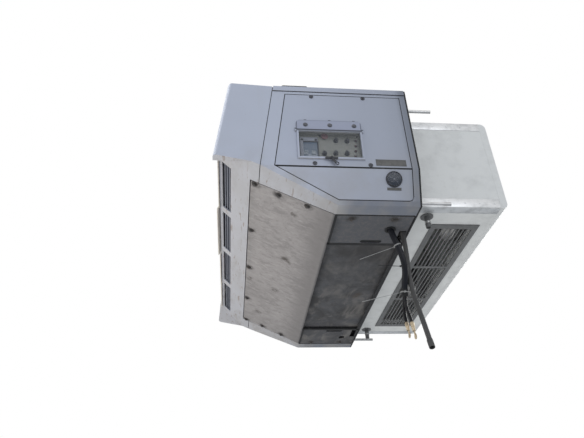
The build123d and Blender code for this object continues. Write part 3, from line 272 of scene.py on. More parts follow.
def underside_paint(name, colour):
    """Belly sheet: mottled road film with smears and dark rings at the bolts, and the rear panel dark with
    dirt and painted shade from the wall.
    """
    paint = Finish(name, colour, 0.72)
    mottle = paint.noise(34, 10, (1, 0.55, 0.8), 0.5, 0.78)
    paint.fleck((5, 5), (0.4, 0.7, 0.45), shade(colour, 0.74), 0.85)
    paint.coat(paint.between(mottle, 0.44, 0.64, 0.6), shade(colour, 0.6), 0.85)
    paint.fleck((75, 8, (1, 0.35, 0.35), 0.4), (0.52, 0.7, 0.5), shade(colour, 1.35))
    paint.fleck((150, 6), (0.6, 0.72, 0.5), shade(colour, 0.42))
    paint.coat(paint.between(paint.cells(34), 0.03, 0.08, 0, 0.6), shade(colour, 0.3))
    smear = paint.product(paint.ramp(1, -0.505, -0.555), paint.clouds((22, 5), 0.42, 0.62), 0.35)
    paint.coat(smear, shade(colour, 0.45))
    paint.coat(paint.ramp(1, -0.385, -0.29, 0.8), shade(colour, 0.58))
    # The rear panel darker: dirt, with painted shade of the wall behind it.
    rear = paint.ramp(1, -0.284, -0.268)
    paint.coat((rear, 0.96), (0.082, 0.085, 0.095), 0.85)
    dusty = paint.clouds((60, 8, (1, 1, 1), 0.6, 0.75), 0.42, 0.66)
    paint.coat((dusty, rear, 0.4), (0.165, 0.15, 0.14), 0.9)
    folded = paint.product(rear, paint.ramp(1, -0.236, -0.27, 0.6), paint.clouds((24, 7), 0.25, 0.6))
    paint.coat(folded, (0.03, 0.03, 0.034), 0.9)
    middle = paint.product(rear, paint.ramp(0, 0.404, 0.4))
    cloud = paint.clouds((6, 7, (1, 1, 1), 0.4), 0.34, 0.66, 0.2, 0.9)
    paint.coat((middle, cloud), (0.036, 0.034, 0.034), 0.9)
    wiped = paint.clouds((14, 8, (0.5, 1, 1), 0.6), 0.46, 0.7)
    nearer = paint.product(middle, paint.ramp(0, 0.38, -0.25, 1, 0.35))
    paint.coat((wiped, nearer, 0.6), (0.21, 0.195, 0.18), 0.85)
    rings = [(x, y, slope_height(y)) for x, y in SLOPE_BOLTS] + [(x, y, BELLY_Z) for x, y in PLATE_BOLTS]
    halo = paint.product(paint.near(rings, 8, 30), paint.clouds((55, 6), 0.34, 0.6), 0.8)
    paint.coat(halo, (0.04, 0.036, 0.034), 0.9)
    marks = paint.product(paint.near(STAINS, 3, 26), paint.clouds((38, 6), 0.36, 0.58), 0.85)
    paint.coat(marks, (0.06, 0.048, 0.04), 0.9)
    paint.emboss(mottle, 0.5, 0.5)
    return paint.emboss(paint.noise(240, 4), 0.3, 0.5)


def flecked(name, colour, roughness, metallic, *flecks):
    """Plain finish with coats of flecks."""
    made = Finish(name, colour, roughness, metallic)
    for fleck in flecks:
        made.fleck(*fleck)
    return made


def rubber(name, colour, gloss, dust=0.25):
    """Black rubber with dust, fine scuffs and a moulded grain."""
    made = flecked(name, colour, gloss, 0, ((30, 6), (0.5, 0.8, dust), (0.16, 0.15, 0.14), 0.85),
                   ((140, 3, (1, 1, 0.2)), (0.62, 0.8, 0.4), (0.045, 0.045, 0.047)))
    made.shader.inputs["Specular IOR Level"].default_value = 0.22
    return made.emboss(made.noise(500, 2), 0.15, 0.4)


def plastic(name, colour, gloss, dust=0.3):
    """Moulded plastic, weathered and dusty."""
    made = flecked(name, colour, gloss, 0, ((18, 6), (0.42, 0.75, 0.45), shade(colour, 0.72), gloss + 0.12),
                   ((60, 5), (0.56, 0.78, dust), (0.42, 0.39, 0.34), 0.85))
    return made.emboss(made.noise(900, 2), 0.08, 0.5)


def bare_metal(name, colour, gloss, stain):
    """Bare or plated metal: dull clouds, brushing and brown stain."""
    made = flecked(name, colour, gloss, 0.9, ((24, 6), (0.4, 0.7, 0.6), shade(colour, 0.6), gloss + 0.2),
                   ((40, 8), (0.58, 0.74, stain), (0.16, 0.08, 0.04), 0.9))
    return made.emboss(made.noise(300, 3, (1, 1, 0.1)), 0.08, 0.4)


def rusted_steel(name):
    """Bolt steel with brown rust and pale dust."""
    rust = flecked(name, (0.075, 0.07, 0.068), 0.7, 0.4, ((120, 8), (0.5, 0.72), (0.085, 0.058, 0.042), 0.9),
                   ((260, 6), (0.6, 0.75, 0.7), (0.3, 0.27, 0.24), 0.7))
    return rust.emboss(rust.noise(420, 6), 0.5, 0.7)


def clear_plastic(name, colour, roughness, alpha, refraction, fleck):
    """Scuffed see-through plastic."""
    clear = flecked(name, colour, roughness, 0, fleck)
    clear.shader.inputs["Alpha"].default_value = alpha
    clear.shader.inputs["IOR"].default_value = refraction
    return clear


FINISHES = {
    weathered_paint: [
        # Blue-grey bases stand for white enamel in sky shade: painted shade.
        ("cowl_paint", (0.488, 0.518, 0.606), 0.4, 0.16),
        ("cover_paint", (0.48, 0.51, 0.6), 0.55, 0.18)],
    panel_paint: [("panel_paint",)],
    underside_paint: [("belly_paint", (0.345, 0.32, 0.31))],
    rusted_steel: [("rusted_bolt",)],
    rubber: [
        ("seal_rubber", (0.02, 0.02, 0.021), 0.62),
        ("sleeve_rubber", (0.006, 0.007, 0.011), 0.4, 0.04),
        ("cable_rubber", (0.006, 0.006, 0.008), 0.34, 0.04)],
    plastic: [
        ("frame_paint", (0.045, 0.045, 0.048), 0.55, 0.25),
        ("slat_plastic", (0.24, 0.248, 0.285), 0.6),
        ("lip_plastic", (0.76, 0.69, 0.6), 0.65, 0.08),
        ("guard_wire", (0.03, 0.03, 0.032), 0.35, 0.15),
        ("motor_paint", (0.028, 0.028, 0.03), 0.42, 0.2),
        ("fan_plastic", (0.03, 0.031, 0.033), 0.48, 0.3),
        ("case_plastic", (0.72, 0.72, 0.7), 0.4, 0.12),
        ("grille_plastic", (0.12, 0.12, 0.12), 0.5, 0.2),
        ("instrument_plate", (0.232, 0.232, 0.208), 0.55, 0.1),
        ("knob_plastic", (0.03, 0.031, 0.038), 0.58, 0.06),
        ("lamp_plastic", (0.06, 0.02, 0.02), 0.3, 0.05),
        ("hose_plastic", (0.056, 0.055, 0.054), 0.62, 0.08),
        ("meter_label", (0.27, 0.285, 0.33), 0.5, 0.2)],
    bare_metal: [
        ("zinc_steel", (0.52, 0.52, 0.52), 0.38, 0.25),
        ("coil_fins", (0.62, 0.63, 0.64), 0.42, 0.1),
        ("engine_iron", (0.16, 0.16, 0.17), 0.6, 0.35),
        ("compressor_metal", (0.46, 0.46, 0.47), 0.5, 0.15),
        ("latch_steel", (0.1, 0.103, 0.116), 0.46, 0.06),
        ("lug_brass", (0.58, 0.48, 0.34), 0.4, 0.3)],
    clear_plastic: [
        ("window_pane", (0.55, 0.58, 0.62), 0.14, 0.055, 1.46,
         ((20, 6), (0.5, 0.8, 0.5), (0.45, 0.46, 0.48), 0.35)),
        ("gauge_glass", (0.045, 0.058, 0.085), 0.16, 0.45, 1.5,
         ((90, 6), (0.5, 0.8, 0.4), (0.16, 0.18, 0.2), 0.4))],
    flecked: [
        ("tarnished_copper", (0.46, 0.22, 0.13), 0.42, 0.9,
         ((45, 7), (0.42, 0.7, 0.7), (0.17, 0.085, 0.055), 0.6),
         ((80, 6), (0.62, 0.75, 0.5), (0.1, 0.22, 0.17), 0.8)),
        ("bare_plate", (0.1, 0.098, 0.094), 0.5, 0.1,
         ((60, 6), (0.42, 0.7, 0.7), (0.062, 0.061, 0.06), 0.6),
         ((160, 4), (0.56, 0.7, 0.7), (0.17, 0.16, 0.15), 0.8)),
        ("tie_nylon", (0.34, 0.34, 0.33), 0.45, 0, ((60, 6), (0.45, 0.7, 0.6), (0.22, 0.21, 0.2), 0.6)),
        ("dial_white", (0.3, 0.32, 0.34), 0.5, 0, ((300, 4), (0.5, 0.7, 0.4), (0.28, 0.29, 0.3))),
        ("button_red", (0.15, 0.066, 0.072), 0.5, 0, ((90, 5), (0.4, 0.7, 0.6), (0.105, 0.06, 0.062), 0.6)),
        ("meter_window", (0.105, 0.14, 0.19), 0.2, 0, ((40, 5), (0.45, 0.75, 0.5), (0.17, 0.2, 0.25), 0.3)),
        ("fuse_glass", (0.19, 0.22, 0.255), 0.25, 0, ((120, 5), (0.45, 0.65), (0.33, 0.36, 0.39), 0.4)),
        ("legend_ink", (0.085, 0.085, 0.08), 0.6, 0, ((300, 4), (0.5, 0.7, 0.5), (0.16, 0.155, 0.135))),
        ("pale_floor", (0.8, 0.8, 0.79), 0.85, 0, ((1.5, 3), (0.4, 0.7, 0.3), (0.76, 0.76, 0.76)))],
}
MATERIALS = {row[0]: make(*row).done() for make, rows in FINISHES.items() for row in rows}


# Shapes, built with operators in the local axes of a face

UP, DOWN = ((0, 0, 1), (0, 1, 0)), ((0, 0, -1), (0, 1, 0))
LEFT, REAR = (1, 0, 0), (0, 1, 0)
SHARP_ABOVE = radians(35)


def spot(x, y, z):
    """Point given in millimetres."""
    return Vector((x, y, z)) * MM


def placed(x, y, z, outward, up=(0, 0, 1)):
    """Local axes on a face: x along it, y up it and z out of it."""
    out = Vector(outward).normalized()
    side = Vector(up).cross(out).normalized()
    turn = Matrix((side, out.cross(side), out)).transposed().to_4x4()
    return Matrix.Translation(spot(x, y, z)) @ turn


def shifted(place, x, y, z=0):
    """The same axes moved within the face, in millimetres."""
    return place @ Matrix.Translation(spot(x, y, z))


def turned(place, angle):
    """The same axes turned about their z."""
    return place @ Matrix.Rotation(angle, 4, "Z")


def lathe(bm, place, outline, steps=32):
    """Turned shape from (radius, height) points about the local z axis."""
    ring = [bm.verts.new(place @ spot(radius, 0, height)) for radius, height in outline]
    edges = [bm.edges.new(pair) for pair in zip(ring, ring[1:])]
    axis = place.to_3x3() @ Vector((0, 0, 1))
    bmesh.ops.spin(bm, geom=ring + edges, cent=place.translation, axis=axis, angle=FULL_TURN,
                   steps=steps, use_merge=True)


def rounded(bm, edges, width):
    """Round edges off, width in millimetres."""
    bmesh.ops.bevel(bm, geom=edges, offset=width * MM, offset_type="OFFSET", segments=2,
                    profile=0.5, affect="EDGES", material=-1)


def slab(bm, place, size, at=(0, 0, 0), edge=0):
    """Block in local axes with rounded edges, its middle at a point, in millimetres."""
    shape = place @ Matrix.Translation(spot(*at)) @ Matrix.Diagonal((*[s * MM for s in size], 1))
    made = bmesh.ops.create_cube(bm, size=1, matrix=shape)
    if edge:
        rounded(bm, list({e for v in made["verts"] for e in v.link_edges}), edge)


def drum(bm, place, radius, low, high, edge, sides=32):
    """Round or many-sided post about the local z axis, its top edge rounded."""
    made = bmesh.ops.create_cone(bm, cap_ends=True, segments=sides, radius1=radius * MM, radius2=radius * MM,
                                 depth=(high - low) * MM, matrix=shifted(place, 0, 0, (low + high) / 2))
    top = place @ spot(0, 0, high)
    out = place.to_3x3() @ Vector((0, 0, 1))
    rounded(bm, [e for e in {e for v in made["verts"] for e in v.link_edges}
                 if all(abs((v.co - top).dot(out)) < 1e-6 for v in e.verts)], edge)


def hex_bolt(bm, place, flats, height, washer):
    """Washer and hexagon head."""
    hole = flats * 0.3
    lathe(bm, place, [(hole, 0), (washer, 0), (washer, 1.1), (washer - 0.5, 1.6), (hole, 1.6)], 24)
    drum(bm, place, flats / sqrt(3), 1.5, height, 0.7, 6)


def dome_bolt(bm, place, radius, height, washer):
    """Washer and low round head."""
    hole = radius * 0.5
    lathe(bm, place, [(hole, 0), (washer, 0), (washer, 1), (washer - 0.4, 1.5), (hole, 1.5)], 24)
    lathe(bm, place, [(radius, 1.4), (radius, 2), (radius * 0.86, height * 0.75),
                      (hole, height), (0, height + 0.3)], 24)


def pan_screw(bm, place, radius):
    """Low pan head."""
    lathe(bm, place, [(radius, 0), (radius, 0.6), (radius * 0.8, 1.2), (radius * 0.4, 1.4), (0, 1.45)], 20)


def rivet(bm, place):
    """Domed rivet of the evaporator's case."""
    lathe(bm, place, [(3.2, 0), (2.9, 1), (1.6, 1.7), (0, 1.9)], 16)


def slotted_stud(bm, place, radius):
    """Quarter-turn fastener: a dished cup round a slotted head."""
    lathe(bm, place, [(radius, 0), (radius, 1.4), (radius - 1, 2), (radius - 2.2, 1.6), (radius - 2.6, 0.2)])
    made = bmesh.ops.create_circle(bm, cap_ends=True, segments=24, radius=(radius - 3.2) * MM,
                                   matrix=shifted(place, 0, 0, 0.5))
    side = place.to_3x3() @ Vector((1, 0.5, 0)).normalized()
    out = place.to_3x3() @ Vector((0, 0, 1))
    disc = list({f for v in made["verts"] for f in v.link_faces})
    for offset in (-0.9, 0.9):
        geom = disc + list({e for f in disc for e in f.edges}) + list({v for f in disc for v in f.verts})
        cut = bmesh.ops.bisect_plane(bm, geom=geom, plane_co=place.translation + side * offset * MM,
                                     plane_no=side, dist=1e-7)
        disc = list({f for f in cut["geom"] if isinstance(f, bmesh.types.BMFace)})
    halves = [f for f in disc if abs((f.calc_center_median() - place.translation).dot(side)) > 1 * MM]
    raised = bmesh.ops.extrude_face_region(bm, geom=halves)
    tops = [v for v in raised["geom"] if isinstance(v, bmesh.types.BMVert)]
    bmesh.ops.translate(bm, verts=tops, vec=out * 1.5 * MM)


def other_end(bm):
    """Add the same shapes mirrored to the right end."""
    bmesh.ops.mirror(bm, geom=bm.verts[:] + bm.edges[:] + bm.faces[:], matrix=Matrix.Identity(4),
                     merge_dist=-1, axis="X")


def fitted(name, data, slot, body="unit", finish=None, stands_for=None):
    """Object on its body with its finish, by default its slot's, and with the node it stands for hidden."""
    made = linked(name, data)
    data.materials.append(MATERIALS[finish or slot])
    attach(made, body)
    if stands_for:
        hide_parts(stands_for)
    return made


def meshed(name, bm):
    """Mesh from what was built, which is let go."""
    mesh = bpy.data.meshes.new(name)
    bm.to_mesh(mesh)
    bm.free()
    return mesh


def piece(name, bm, slot, **fitting):
    """Close the mesh, face it outwards and fit it."""
    bmesh.ops.remove_doubles(bm, verts=bm.verts, dist=1e-6)
    bmesh.ops.recalc_face_normals(bm, faces=bm.faces)
    for face in bm.faces:
        face.smooth = True
    for edge in bm.edges:
        edge.smooth = len(edge.link_faces) == 2 and edge.calc_face_angle(0) < SHARP_ABOVE
    return fitted(name, meshed(name, bm), slot, **fitting)


def block_piece(name, slot, place, *blocks, **fitting):
    """Piece made of blocks on the same axes."""
    bm = bmesh.new()
    for block in blocks:
        slab(bm, place, *block)
    piece(name, bm, slot, **fitting)


# Cables and hose that leave under the left end

SLEEVE_ROUTE = [(501, -72, -233), (499, -63, -268), (494, -48, -310), (489, -38, -350),
                (476, -34, -384), (454, -35, -410), (441, -36, -440)]
CABLE_A_ROUTE = [(429, -36.5, -452.4), (418.6, -37.3, -476), (416, -39, -503), (422, -41, -530),
                 (431, -42, -556)]
CABLE_B_ROUTE = [(440.2, -36.5, -457.6), (431.5, -36.5, -481), (436, -34, -508), (444, -31, -536),
                 (449, -30, -563)]
DRAIN_ROUTE = [(478, -22, -229), (470, -17, -300), (455, -16, -368), (456, -15, -440),
               (482, -15, -508), (512, -15, -578), (538, -15, -648)]


def cord_line(name, route):
    """Smooth line on a route's own points, with no thickness."""
    curve = bpy.data.curves.new(name, "CURVE")
    curve.dimensions = "3D"
    curve.resolution_u = 12
    line = curve.splines.new("NURBS")
    line.points.add(len(route) - 1)
    for point, place in zip(line.points, route):
        point.co = (*spot(*place), 1)
    line.order_u = 3
    line.use_endpoint_u = True
    return curve


def hung_cord(name, route, diameter, slot, node):
    """Round cord along its route's line."""
    curve = cord_line(name, route)
    curve.bevel_depth = diameter / 2 * MM
    curve.bevel_resolution = 6
    curve.use_fill_caps = True
    return fitted(name, curve, slot, stands_for=node)


def at_end(route):
    """Local axes at the end of a route, z onwards."""
    return placed(*route[-1], Vector(route[-1]) - Vector(route[-2]), LEFT)


def round_cord(route, height):
    """Local axes on a route's line where it passes a height, z onwards."""
    guide = bpy.data.objects.new("guide", cord_line("guide", route))
    line = [v.co.copy() for v in bpy.data.meshes.new_from_object(guide).vertices]
    near = min(range(1, len(line)), key=lambda k: abs(line[k].z - height * MM))
    onward = line[min(near + 1, len(line) - 1)] - line[near - 1]
    bpy.data.objects.remove(guide)
    return placed(*(line[near] / MM), onward, LEFT)


def cable_boot():
    """Tapered boot with ribs at the sleeve's end."""
    bm = bmesh.new()
    outline = [(9, -8), (10.9, -8), (11.6, -6)]
    for low in (-4, 1, 6):
        outline += [(11.8, low), (12.6, low + 0.8), (12.6, low + 2.4), (11.8, low + 3.2)]
    lathe(bm, at_end(SLEEVE_ROUTE), outline + [(12.2, 13), (11, 15.6), (2, 16), (0, 16)])
    return piece("boot", bm, "seal_rubber", stands_for="cable_boot")


def ring_lug(name, route, node=None):
    """Crimped ring terminal with a shrink sleeve on its barrel."""
    bm = bmesh.new()
    place = at_end(route)
    lathe(bm, place, [(4, -12), (6.1, -12), (6.4, -10), (6.3, 4), (5.4, 5), (4, 5)], 24)
    for low in (5, 10, 15):
        lathe(bm, place, [(4.2, low), (5.3, low + 0.4), (5.4, low + 3.2), (4.4, low + 4.8)], 24)
    onward = Vector(route[-1]) - Vector(route[-2])
    flat = placed(*(Vector(route[-1]) + onward.normalized() * 30), onward.cross(Vector(LEFT)), onward)
    slab(bm, flat, (10, 20, 2.6), (0, -9, 0), 0.6)
    lathe(bm, shifted(flat, 0, 9), [(4.4, -1.4), (8.9, -1.4), (9, -1), (9, 1), (8.9, 1.4),
                                    (4.4, 1.4), (4.4, -1.4)])
    return piece(name, bm, "lug_brass", stands_for=node)


def hose_cuff():
    """Cuff on the drain hose's end."""
    bm = bmesh.new()
    lathe(bm, at_end(DRAIN_ROUTE), [(7.4, -6), (8.9, -6), (9.3, -3), (9.3, 20), (9, 23.6), (7.2, 23.8),
                                    (6.8, 12), (6.8, -2)])
    return piece("cuff", bm, "hose_plastic", stands_for="drain_cuff")


def cable_ties():
    """Two pale ties and a dark one round the hanging sleeve, with their uncut tails."""
    pale, dark = bmesh.new(), bmesh.new()
    for bm, height, radius, turn, end, width in [(pale, -294, 10.5, 231, (444, -175.3, -322.1), 2.4),
                                                 (dark, -365, 10.5, 198, (460.9, -118.3, -353.3), 3),
                                                 (pale, -440, 12.6, 98, (412.8, -175.8, -464), 2.4)]:
        around = round_cord(SLEEVE_ROUTE, height)
        lathe(bm, around, [(radius - 1, -1.8), (radius + 1, -1.8), (radius + 1.2, 0), (radius + 1, 1.8),
                           (radius - 1, 1.8), (radius - 1, -1.8)])
        out = radians(turn)
        start = around @ spot((radius + 2) * cos(out), (radius + 2) * sin(out), 0) / MM
        run = Vector(end) - start
        tail = placed(*((Vector(end) + start) / 2), run.cross(Vector(LEFT)), run)
        slab(bm, tail, (width, run.length, 1.1), edge=0.3)
        slab(bm, tail, (6, 6, 5), (0, -run.length / 2 + 1, 0), 0.8)
    return [piece("pale_ties", pale, "grille_plastic", finish="tie_nylon"),
            piece("dark_tie", dark, "cable_rubber")]


def hang_cords():
    """All free cords with what is on them."""
    boot = cable_boot()
    ties = cable_ties()
    lug_a, lug_b = ring_lug("lug_a", CABLE_A_ROUTE, "cable_lugs"), ring_lug("lug_b", CABLE_B_ROUTE)
    cuff = hose_cuff()
    sleeve = hung_cord("sleeve", SLEEVE_ROUTE, 21, "sleeve_rubber", "cable_sleeve")
    cable_a = hung_cord("cable_a", CABLE_A_ROUTE, 11, "cable_rubber", "battery_cable_a")
    cable_b = hung_cord("cable_b", CABLE_B_ROUTE, 11, "cable_rubber", "battery_cable_b")
    hose = hung_cord("hose", DRAIN_ROUTE, 16, "hose_plastic", "drain_hose")


# Ends of the unit

TUCK_OUTWARD = (cos(TUCK_ANGLE), 0, -sin(TUCK_ANGLE))
DOOR_OUTLINE = [(-26.5, 198.5), (-433.2, 198.5), (-475.6, -115.5), (-26.5, -115.5), (-26.5, 198.5)]
TUCKED_OUTLINE = [(-26.5, 1.5), (-474, 1.5), (-272.6, 109), (-44, 109), (-33, 105.5),
                  (-26.5, 93), (-26.5, 1.5)]


def end_face(y, z, proud=0):
    """Axes on the left end panel, or some way in front of it."""
    return placed(HALF + proud, y, z, LEFT)


def tucked(y, down):
    """Point on the tucked-in face, down from its crease, in millimetres."""
    return HALF - down * sin(TUCK_ANGLE), y, TUCK_Z - down * cos(TUCK_ANGLE)


def door_fasteners():
    """Slotted quarter-turn fasteners of both service panels."""
    bm = bmesh.new()
    for y, z in DOOR_FASTENERS:
        slotted_stud(bm, end_face(y, z), 7.6)
    other_end(bm)
    piece("door_fasteners", bm, "latch_steel")


def hinge_strip_bolts():
    """Three round bolts of the hinge strip, and the tabs bent over its top edge."""
    bm, tabs = bmesh.new(), bmesh.new()
    for y, z in STRIP_BOLTS:
        dome_bolt(bm, end_face(y, z, 4), 5.6, 3.8, 8.2)
        slab(tabs, end_face(y, 78.2, 2.2), (9, 2.4, 4), edge=0.5)
    piece("hinge_strip_bolts", bm, "latch_steel")
    piece("hinge_strip_tabs", tabs, "latch_steel")


def blank_plate(name, place, width, height, radius):
    """Thin bare plate with a pressed rim and a rivet in each corner."""
    bm = bmesh.new()
    slab(bm, place, (width, height, 0.8), (0, 0, 0.5), 0.3)
    for side in (-1, 1):
        slab(bm, place, (width - 2, 0.8, 0.5), (0, side * (height / 2 - 1.4), 1), 0.2)
        slab(bm, place, (0.8, height - 2, 0.5), (side * (width / 2 - 1.4), 0, 1), 0.2)
        for end in (-1, 1):
            corner = shifted(place, side * (width / 2 - 5), end * (height / 2 - 5), 0.8)
            lathe(bm, corner, [(radius, 0), (radius, 0.3), (radius * 0.7, 0.9), (0, 1.1)], 16)
    piece(name, bm, "zinc_steel", finish="bare_plate")


# Seals that show as dark lines in the gaps, and dark strips of painted shadow and shade

def seal_run(bm, points, outward, width, thick, depth):
    """Flat strip along straight runs, its outer side at a depth below the face."""
    for start, end in zip(points, points[1:]):
        run = Vector(end) - Vector(start)
        axes = placed(*((Vector(start) + Vector(end)) / 2), outward, run)
        slab(bm, axes, (width, run.length + width, thick), (0, 0, -depth - thick / 2))


def leaned(x, y, z):
    """Point behind the leaning front, its y given at height 0, in millimetres."""
    return x, y + z * FRONT_LEAN, z


def panel_seals():
    """Black strips in the gaps round the panels of both ends."""
    bm = bmesh.new()
    seal_run(bm, [(HALF, y, z) for y, z in DOOR_OUTLINE], LEFT, 2.8, 1.8, 0.6)
    seal_run(bm, [tucked(y, down) for y, down in TUCKED_OUTLINE], TUCK_OUTWARD, 2.8, 1.8, 0.6)
    other_end(bm)
    piece("panel_seals", bm, "seal_rubber")


def split_seals_and_lip_shadows():
    """Black strip in the gap between the nose and the covers behind it, and dark strips under the top cover's
    side lips as painted shadow.
    """
    bm = bmesh.new()
    gap = SPLIT_Y - SEAM / 2
    seal_run(bm, [leaned(HALF - 1.2, gap, 229), leaned(HALF - 1.2, gap, -112)], LEFT, SEAM, 8, 0)
    seal_run(bm, [leaned(HALF - 4, gap, -115), leaned(590, gap, -115)], (0, 0, -1), SEAM, 8, 0)
    other_end(bm)
    seal_run(bm, [leaned(HALF - 3, gap, 231), leaned(3 - HALF, gap, 231)], (0, 0, 1), SEAM, 8, 0)
    # Dark strips under the top cover's side lips: painted shadow of the lips.
    lip_z = 213
    front = SPLIT_Y + lip_z * FRONT_LEAN + 2
    for side in (-1, 1):
        lip = [(side * HALF, y, lip_z - 0.9) for y in (front, -1)]
        seal_run(bm, lip, (side, 0, 0), 1.8, 1.6, -1.6)
    piece("split_seals_and_lip_shadows", bm, "seal_rubber")


def belly_run(bm, start, end, rise, width, thick, depth):
    """Flat strip between two (x, y) points of the belly, or some way above it."""
    seal_run(bm, [(*start, BELLY_Z + rise), (*end, BELLY_Z + rise)], (0, 0, -1), width, thick, depth)


def belly_seams_and_shadow_lines():
    """Dark strips along the end plates' joints, partly sealant and partly painted shadow of their steps and
    of the wall gasket, and dark flaps behind the drain slots as painted shade inside them.
    """
    bm = bmesh.new()
    # Along the plate's inner step and front edge: partly sealant, partly painted shadow of the step.
    belly_run(bm, (399.5, CREASE_Y + 4), (399.5, -14), 0, 14, 9, -0.8)
    belly_run(bm, (403, CREASE_Y + 2), (584, CREASE_Y + 2), 0, 8, 0.9, -0.8)
    # Dark flap behind the drain slot: painted shade inside the slot.
    belly_run(bm, (419, -165), (419, -79), 3, 28, 1.2, 0)
    # Sealant along the plate's outer edge.
    belly_run(bm, (586, CREASE_Y + 3), (586, -12), 0, 6, 0.8, -0.7)
    other_end(bm)
    # Along the crease and the rear edge: partly joint, partly painted shadow of the step and of the wall
    # gasket.
    belly_run(bm, (395, CREASE_Y + 1.5), (-395, CREASE_Y + 1.5), 9.5, 4, 2.2, 0)
    belly_run(bm, (395, -9), (-395, -10), 0, 15, 1.2, -0.8)
    piece("belly_seams_and_shadow_lines", bm, "seal_rubber")


# Round gauge

GAUGE_RADIUS = 27
GAUGE_START = 225


def dial_number(bm, place, number):
    """Plain number of the dial, its middle at the place."""
    curve = bpy.data.curves.new("number", "FONT")
    curve.body = number
    curve.size = 5 * MM
    curve.extrude = 0.08 * MM
    curve.align_x, curve.align_y = "CENTER", "CENTER"
    text = linked("number", curve)
    bpy.context.view_layer.update()
    mesh = bpy.data.meshes.new_from_object(text.evaluated_get(bpy.context.evaluated_depsgraph_get()))
    bpy.data.objects.remove(text)
    mesh.transform(place)
    bm.from_mesh(mesh)
    bpy.data.meshes.remove(mesh)


def round_gauge():
    """Gauge with a rolled bezel, white marks and numbers, a needle and a domed glass."""
    base = placed(*tucked(-89, 37), TUCK_OUTWARD)
    bm = bmesh.new()
    lathe(bm, base, [(GAUGE_RADIUS, 0), (GAUGE_RADIUS, 3.2), (25.6, 6.2), (24.2, 6.8), (23.2, 6.2),
                     (22.8, 4.2)], 64)
    piece("gauge_bezel", bm, "knob_plastic")
    bm = bmesh.new()
    lathe(bm, base, [(24, 3.2), (23, 3.6), (0, 3.6)], 64)
    piece("gauge_dial", bm, "knob_plastic", stands_for="round_gauge")
    bm = bmesh.new()
    for index in range(21):
        mark = turned(shifted(base, 0, 0, 3.8), radians(GAUGE_START - index * 13.5))
        if index % 5 == 0:
            slab(bm, mark, (4.4, 1, 0.3), (20, 0, 0))
        else:
            slab(bm, mark, (2.4, 0.6, 0.3), (20.8, 0, 0))
    for index, number in enumerate(("0", "5", "10", "15", "20")):
        angle = radians(GAUGE_START - index * 67.5)
        flat = shifted(base, 0, 0, 3)
        dial_number(bm, shifted(flat, 14 * cos(angle), 14 * sin(angle), 0.9), number)
    piece("gauge_marks", bm, "knob_plastic", finish="dial_white")
    bm = bmesh.new()
    needle = turned(shifted(base, 0, 0, 4.4), radians(150))
    slab(bm, needle, (17, 1.1, 0.4), (6.5, 0, 0), 0.15)
    lathe(bm, needle, [(2.6, -0.8), (2.6, 0.9), (1.8, 1.3), (0, 1.3)], 24)
    piece("gauge_needle", bm, "knob_plastic", finish="dial_white")
    bm = bmesh.new()
    lathe(bm, base, [(23.4, 5.4), (18, 6.2), (10, 6.7), (0, 6.9)], 48)
    piece("gauge_glass", bm, "window_pane", finish="gauge_glass")


# Controls behind the window

PLATE_DEPTH = 24
KNOBS = [(-265, 11.5, 90), (-226.5, 11, 84), (-307, -45.5, 140), (-269.5, -43.5, 95),
         (-231.5, -43.5, 115)]
LAMPS = [(-196.5, 13.5), (-198.5, -8.5), (-200.5, -31), (-203, -52.5)]


def on_plate(y, z):
    """Axes on the instrument plate."""
    return end_face(y, z, -PLATE_DEPTH)


def legend_bars():
    """Plain bars that divide the instrument plate's switches, and its corner screws."""
    bm = bmesh.new()
    for y, z, _ in KNOBS:
        for degrees in range(30, 151, 30):
            slab(bm, turned(on_plate(y, z), radians(degrees)), (2.6, 0.7, 0.2), (11.4, 0, 0.1))
    for y in (-288, -250, -216):
        slab(bm, on_plate(y, -17), (22, 0.8, 0.2), (0, 0, 0.1))
    for y, z, _ in KNOBS:
        slab(bm, on_plate(y, z - 15), (13, 1.6, 0.2), (0, 0, 0.1))
    piece("legend_lines", bm, "knob_plastic", finish="legend_ink")
    bm = bmesh.new()
    for y, z in product((-190, -319), (32, -72)):
        dome_bolt(bm, on_plate(y, z), 2.4, 2.4, 3.4)
    piece("instrument_screws", bm, "latch_steel")


def rotary_knobs():
    """Selector knobs: a skirt, a fluted body and a raised pointer with a white line."""
    bm, lines = bmesh.new(), bmesh.new()
    for y, z, degrees in KNOBS:
        place = turned(on_plate(y, z), radians(degrees))
        lathe(bm, place, [(8.5, 0), (8.5, 1.4), (7.6, 2.4), (6.4, 2.6), (6, 10.5), (5, 11.4), (0, 11.6)])
        for flute in range(18, 360, 36):
            slab(bm, turned(place, radians(flute)), (1.2, 1.5, 7.6), (6.3, 0, 6.6), 0.3)
        slab(bm, place, (13, 4.2, 5), (0, 0, 12.2), 0.9)
        slab(lines, place, (5.6, 0.9, 0.3), (3.4, 0, 14.75))
    piece("rotary_knobs", bm, "knob_plastic", stands_for="control_knobs")
    piece("knob_lines", lines, "knob_plastic", finish="legend_ink")


def button_and_lamps():
    """Red stop button, four small domed lamps and the black rings round them."""
    button, bezels, lamps = bmesh.new(), bmesh.new(), bmesh.new()
    place = on_plate(-303, 27)
    lathe(button, place, [(6, 0), (6, 4), (11.8, 4.6), (12.6, 5.8), (11.4, 7.2), (5.6, 7.9), (0, 8)],
          40)
    lathe(bezels, place, [(9.4, 0), (9.4, 1), (8.6, 1.4), (7, 1.4), (7, 0.4), (5, 0.4)])
    for y, z in LAMPS:
        lathe(bezels, on_plate(y, z), [(5.2, 0), (5.2, 1), (4.6, 1.5), (3.9, 1.5), (3.9, 0.3)], 24)
        lathe(lamps, on_plate(y, z), [(3.7, 0.2), (3.7, 1.8), (3.1, 3.1), (1.8, 3.8), (0, 4)], 24)
    piece("stop_button", button, "lamp_plastic", finish="button_red")
    piece("control_bezels", bezels, "knob_plastic")
    piece("signal_lamps", lamps, "lamp_plastic", stands_for="control_lamps")


